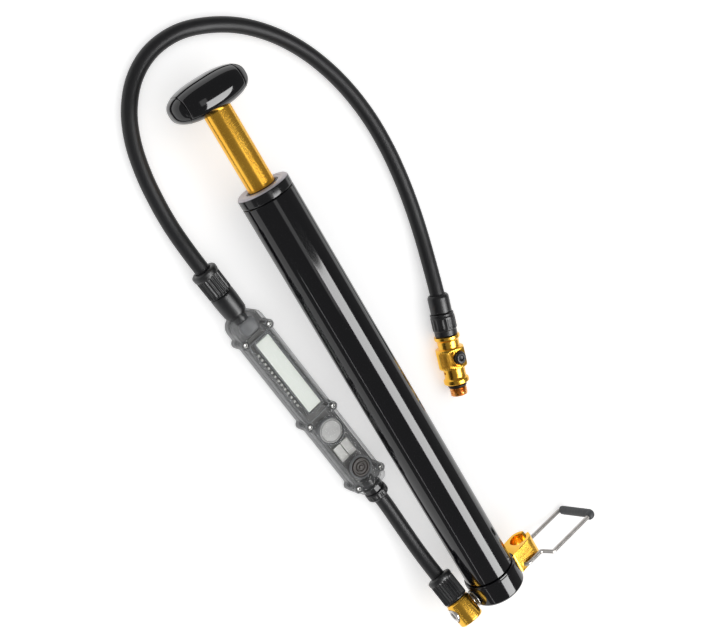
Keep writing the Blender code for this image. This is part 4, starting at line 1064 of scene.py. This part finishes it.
def make_button():
    """A rubber button with raised rings, in a clear bezel."""
    place = axes(PLACES["gauge"], (0, BUTTON_AT, 0))
    top = 0.0129
    line = [(0, 0.0086), (0.0047, 0.0086), (0.0047, top - 0.0004, 0.0004), (0.0043, top, 0.0004)]
    for radius, height in ((0.0036, -0.0001), (0.0033, -0.0006), (0.0027, -0.0006), (0.0024, -0.0001),
                           (0.002, -0.0001), (0.0017, -0.0006), (0.0011, -0.0006), (0.0008, -0.0001)):
        line.append((radius, top + height, 0.0002))
    line.append((0, top - 0.0001))
    lathe(line, 96, place, "button_cap", "satin_black", "gauge_key", "gauge_button", 50, look="button")
    ring = [(0.0051, 0.0113), (0.0059, 0.0113), (0.0059, 0.0127, 0.0003), (0.0055, 0.0132, 0.0003),
            (0.0051, 0.0129, 0.0002)]
    lathe(ring, 96, place, "button_bezel", "clear", "hose_assembly", (), 40, look="frame", ring=True)


def make_gauge_ends():
    bottom, top = PLACES["bottom"], PLACES["top"]
    nut = [(0.0012, -0.004), (0.0034, -0.004), (0.0034, GAP), (0.0054, GAP, 0.0002),
           (0.0054, 0.0029, 0.0003),
           (0.003, 0.003), (0.003, 0.005), (0.0012, 0.005)]

    def six_flats(angle, height, radius):
        """Flats on the outside only: the radius is cut to a twelve-sided outline."""
        turn = (angle + np.pi / 12) % (np.pi / 6) - np.pi / 12
        return angle, np.where(radius > 0.0045, np.minimum(radius, 0.00512 / np.cos(turn)), radius)

    lathe(nut, 144, bottom, "gauge_end_nut", "satin_black", "hose_assembly", "gauge_nut", 20, ring=True,
          relief=six_flats)
    sleeve = [(0.0033, 0.0033), (0.0056, 0.0033, 0.0003), (0.0058, 0.0042, 0.0004),
              (0.0058, 0.0068, 0.0005),
              (0.005, 0.0078, 0.0004), (0.004, 0.0078, 0.0001), (0.004, 0.0058), (0.0033, 0.0055)]
    grooves = ribs(20, 0.0003, 0.0045, 0.0064, 0.0058, 0.8)
    lathe(sleeve, 200, bottom, "gauge_end_sleeve", "satin_black", "hose_assembly", "gauge_sleeve", 60,
          ring=True, relief=grooves, spacing=0.0006)
    cone = [(0.0012, -0.004), (0.0034, -0.004), (0.0034, GAP), (0.0052, GAP, 0.0004),
            (0.0057, 0.0016, 0.0006), (0.006, 0.008, 0.002),
            (0.006, 0.0119, 0.0003), (0.0057, 0.0125, 0.0002), (0.0044, 0.0125), (0.0044, 0.0165),
            (0.0012, 0.0165)]
    lathe(cone, 128, top, "relief_cone", "satin_black", "hose_assembly", "relief_sleeve", 50, ring=True)
    low, high = 0.0128, 0.0264
    collar = [(0.0047, low), (0.006, low, 0.0004), (0.0061, high - 0.0032, 0.0003),
              (0.0064, high - 0.0026, 0.0003),
              (0.0064, high - 0.0006, 0.0005), (0.0056, high, 0.0003), (0.004, high, 0.0001),
              (0.004, low + 0.006), (0.0047, low + 0.0045)]
    grooves = ribs(22, 0.0005, low + 0.0005, high - 0.0036, 0.0061, 0.8)
    lathe(collar, 220, top, "relief_grip", "satin_black", "hose_assembly", "relief_collar", 60, ring=True,
          relief=grooves, spacing=0.0006)


# --- chuck ---
def make_chuck():
    chuck = PLACES["chuck"]
    ferrule = [(0.0012, 0.0053), (0.004, 0.0053), (0.004, -0.0003), (0.0047, -0.0003, 0.0003),
               (0.0054, 0.0008, 0.0005),
               (0.0054, 0.0088, 0.0003), (0.003, 0.0088), (0.003, 0.0148), (0.0012, 0.0148)]
    lathe(ferrule, 128, chuck, "ferrule_cup", "satin_black", "hose_assembly", "hose_ferrule", 40,
          ring=True)
    low, high = 0.0091, 0.0206
    nut = [(0.0034, low), (0.0056, low, 0.0002), (0.006, low + 0.0003, 0.0002),
           (0.006, low + 0.0011, 0.0002), (0.0057, low + 0.0014, 0.0002),
           (0.0062, low + 0.0019, 0.0003), (0.0062, high - 0.0033, 0.0004),
           (0.0057, high - 0.0027, 0.0003),
           (0.0057, high, 0.0003), (0.0034, high)]
    grooves = ribs(16, 0.00028, low + 0.0024, high - 0.004, 0.0062, 0.7)
    lathe(nut, 216, chuck, "chuck_grip_nut", "satin_black", "chuck", "chuck_nut", 60, ring=True,
          relief=grooves, spacing=0.0006)
    start = high + GAP
    end = start + 0.025
    outer, waist, crown = 0.0065, 0.0055, 0.0072
    knurl_low, knurl_high = start + 0.0066, start + 0.0164
    body = [(0.0012, start), (outer, start, 0.0003), (outer, start + 0.0016, 0.0003),
            (waist + 0.0001, start + 0.0024, 0.0005), (waist, start + 0.0062, 0.0003),
            (crown - 0.0003, start + 0.0063, 0.0001),
            (crown, knurl_low, 0.0002), (crown, knurl_high, 0.0002),
            (crown - 0.0003, knurl_high + 0.0003, 0.0001),
            (waist, knurl_high + 0.0004, 0.0003), (waist, end - 0.0032, 0.0005),
            (outer - 0.0001, end - 0.0024, 0.0003),
            (outer, end - 0.002, 0.0002), (outer, end - 0.0005, 0.0003), (outer - 0.0006, end, 0.0002),
            (0.0033, end),
            (0.0033, end - 0.007), (0.0012, end - 0.007)]
    cut = knurl(46, 0.0003, knurl_low + 0.0003, knurl_high - 0.0003, 0.0085, crown)
    barrel = lathe(body, 322, chuck, "chuck_barrel", "gold", "chuck", "chuck_body", 55, ring=True,
                   relief=cut, spacing=0.0008)
    bleed = start + 0.0115
    key = axes(chuck, (0, 0, bleed), (0, 0, 1), (1, 0, 0))
    vent = axes(chuck, (0, 0, knurl_high + 0.0022), (0, 0, 1), (-0.156, 0.988, 0))
    carve(barrel, [(key, 0.0036, 0.002, 0.01), (vent, 0.0007, 0.0042, 0.01)])
    top = crown + 0.0012
    pad = [(0, 0.0037), (0.0032, 0.0037), (0.0032, top - 0.0007, 0.0006), (0.0026, top, 0.0006),
           (0.0015, top, 0.0003),
           (0.0011, top - 0.0006, 0.0003), (0, top - 0.0007)]
    lathe(pad, 72, key, "bleed_pad", "satin_black", "bleed_key", "bleed_button", 50)
    tip_start, tip_end = end + 0.002, end + 0.0064
    tip = [(0.0029, tip_end - 0.002), (0.0029, tip_end, 0.0002), (0.0038, tip_end, 0.0003),
           (0.0044, tip_end - 0.0006, 0.0002),
           (0.0044, tip_start, 0.0003), (0.003, tip_start), (0.003, end - 0.0065), (0.0012, end - 0.0065),
           (0.0012, tip_end - 0.002)]

    def thread(angle, height, radius):
        """A screw thread: a triangle wave of the height less the angle's share of the pitch."""
        phase = (height / 0.00085 - angle / (2 * np.pi)) % 1
        wave = np.abs(2 * phase - 1)
        cutting = band(height, tip_start + 0.0004, tip_end - 0.0006) * (radius > 0.0042)
        return angle, radius - 0.0005 * wave * cutting

    lathe(tip, 96, chuck, "chuck_thread", "copper", "chuck", "chuck_tip", 60, ring=True, relief=thread,
          spacing=0.00014)
    angle = np.arange(24) * 2 * np.pi / 24
    seal = [(0.0041 + 0.00068 * math.cos(a), end + 0.0011 + 0.00068 * math.sin(a)) for a in angle]
    lathe(seal, 96, chuck, "chuck_seal_ring", "rubber", "chuck", "chuck_o_ring", 60, ring=True, fillet=0)


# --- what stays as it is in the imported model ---
def dress_rest():
    """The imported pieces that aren't replaced get the finish of their own slot."""
    for entry in frame["record"]["subparts"]:
        obj = frame["nodes"][entry["node"]]
        obj.data.materials.clear()
        obj.data.materials.append(LOOKS[entry["material_slot"]])


def main():
    make_camera()
    hoses = make_hoses()
    make_studio()
    dress_rest()
    make_barrel()
    make_handle()
    make_peg()
    make_bracket()
    make_banjo()
    make_case()
    make_screws()
    make_gauge_inside()
    make_gauge_ends()
    make_chuck()
    on_lower = [o for o in bpy.data.objects if o.name.startswith((
        "gauge_end", "relief_", "case_", "cover_screws", "screw_seats", "display_", "window_bead",
        "pin_carrier",
        "sensor_", "coin_can", "cell_collar", "airway_", "button_")) and o.type == "MESH"]
    on_upper = [o for o in bpy.data.objects if o.name.startswith(("ferrule_cup", "chuck_grip",
                                                                  "chuck_barrel",
                "chuck_thread", "chuck_seal", "bleed_pad"))]
    on_lower += [frame["nodes"]["gauge_board"]]
    on_upper += [frame["nodes"]["tip_seal"], frame["nodes"]["bleed_spring"]]


main()
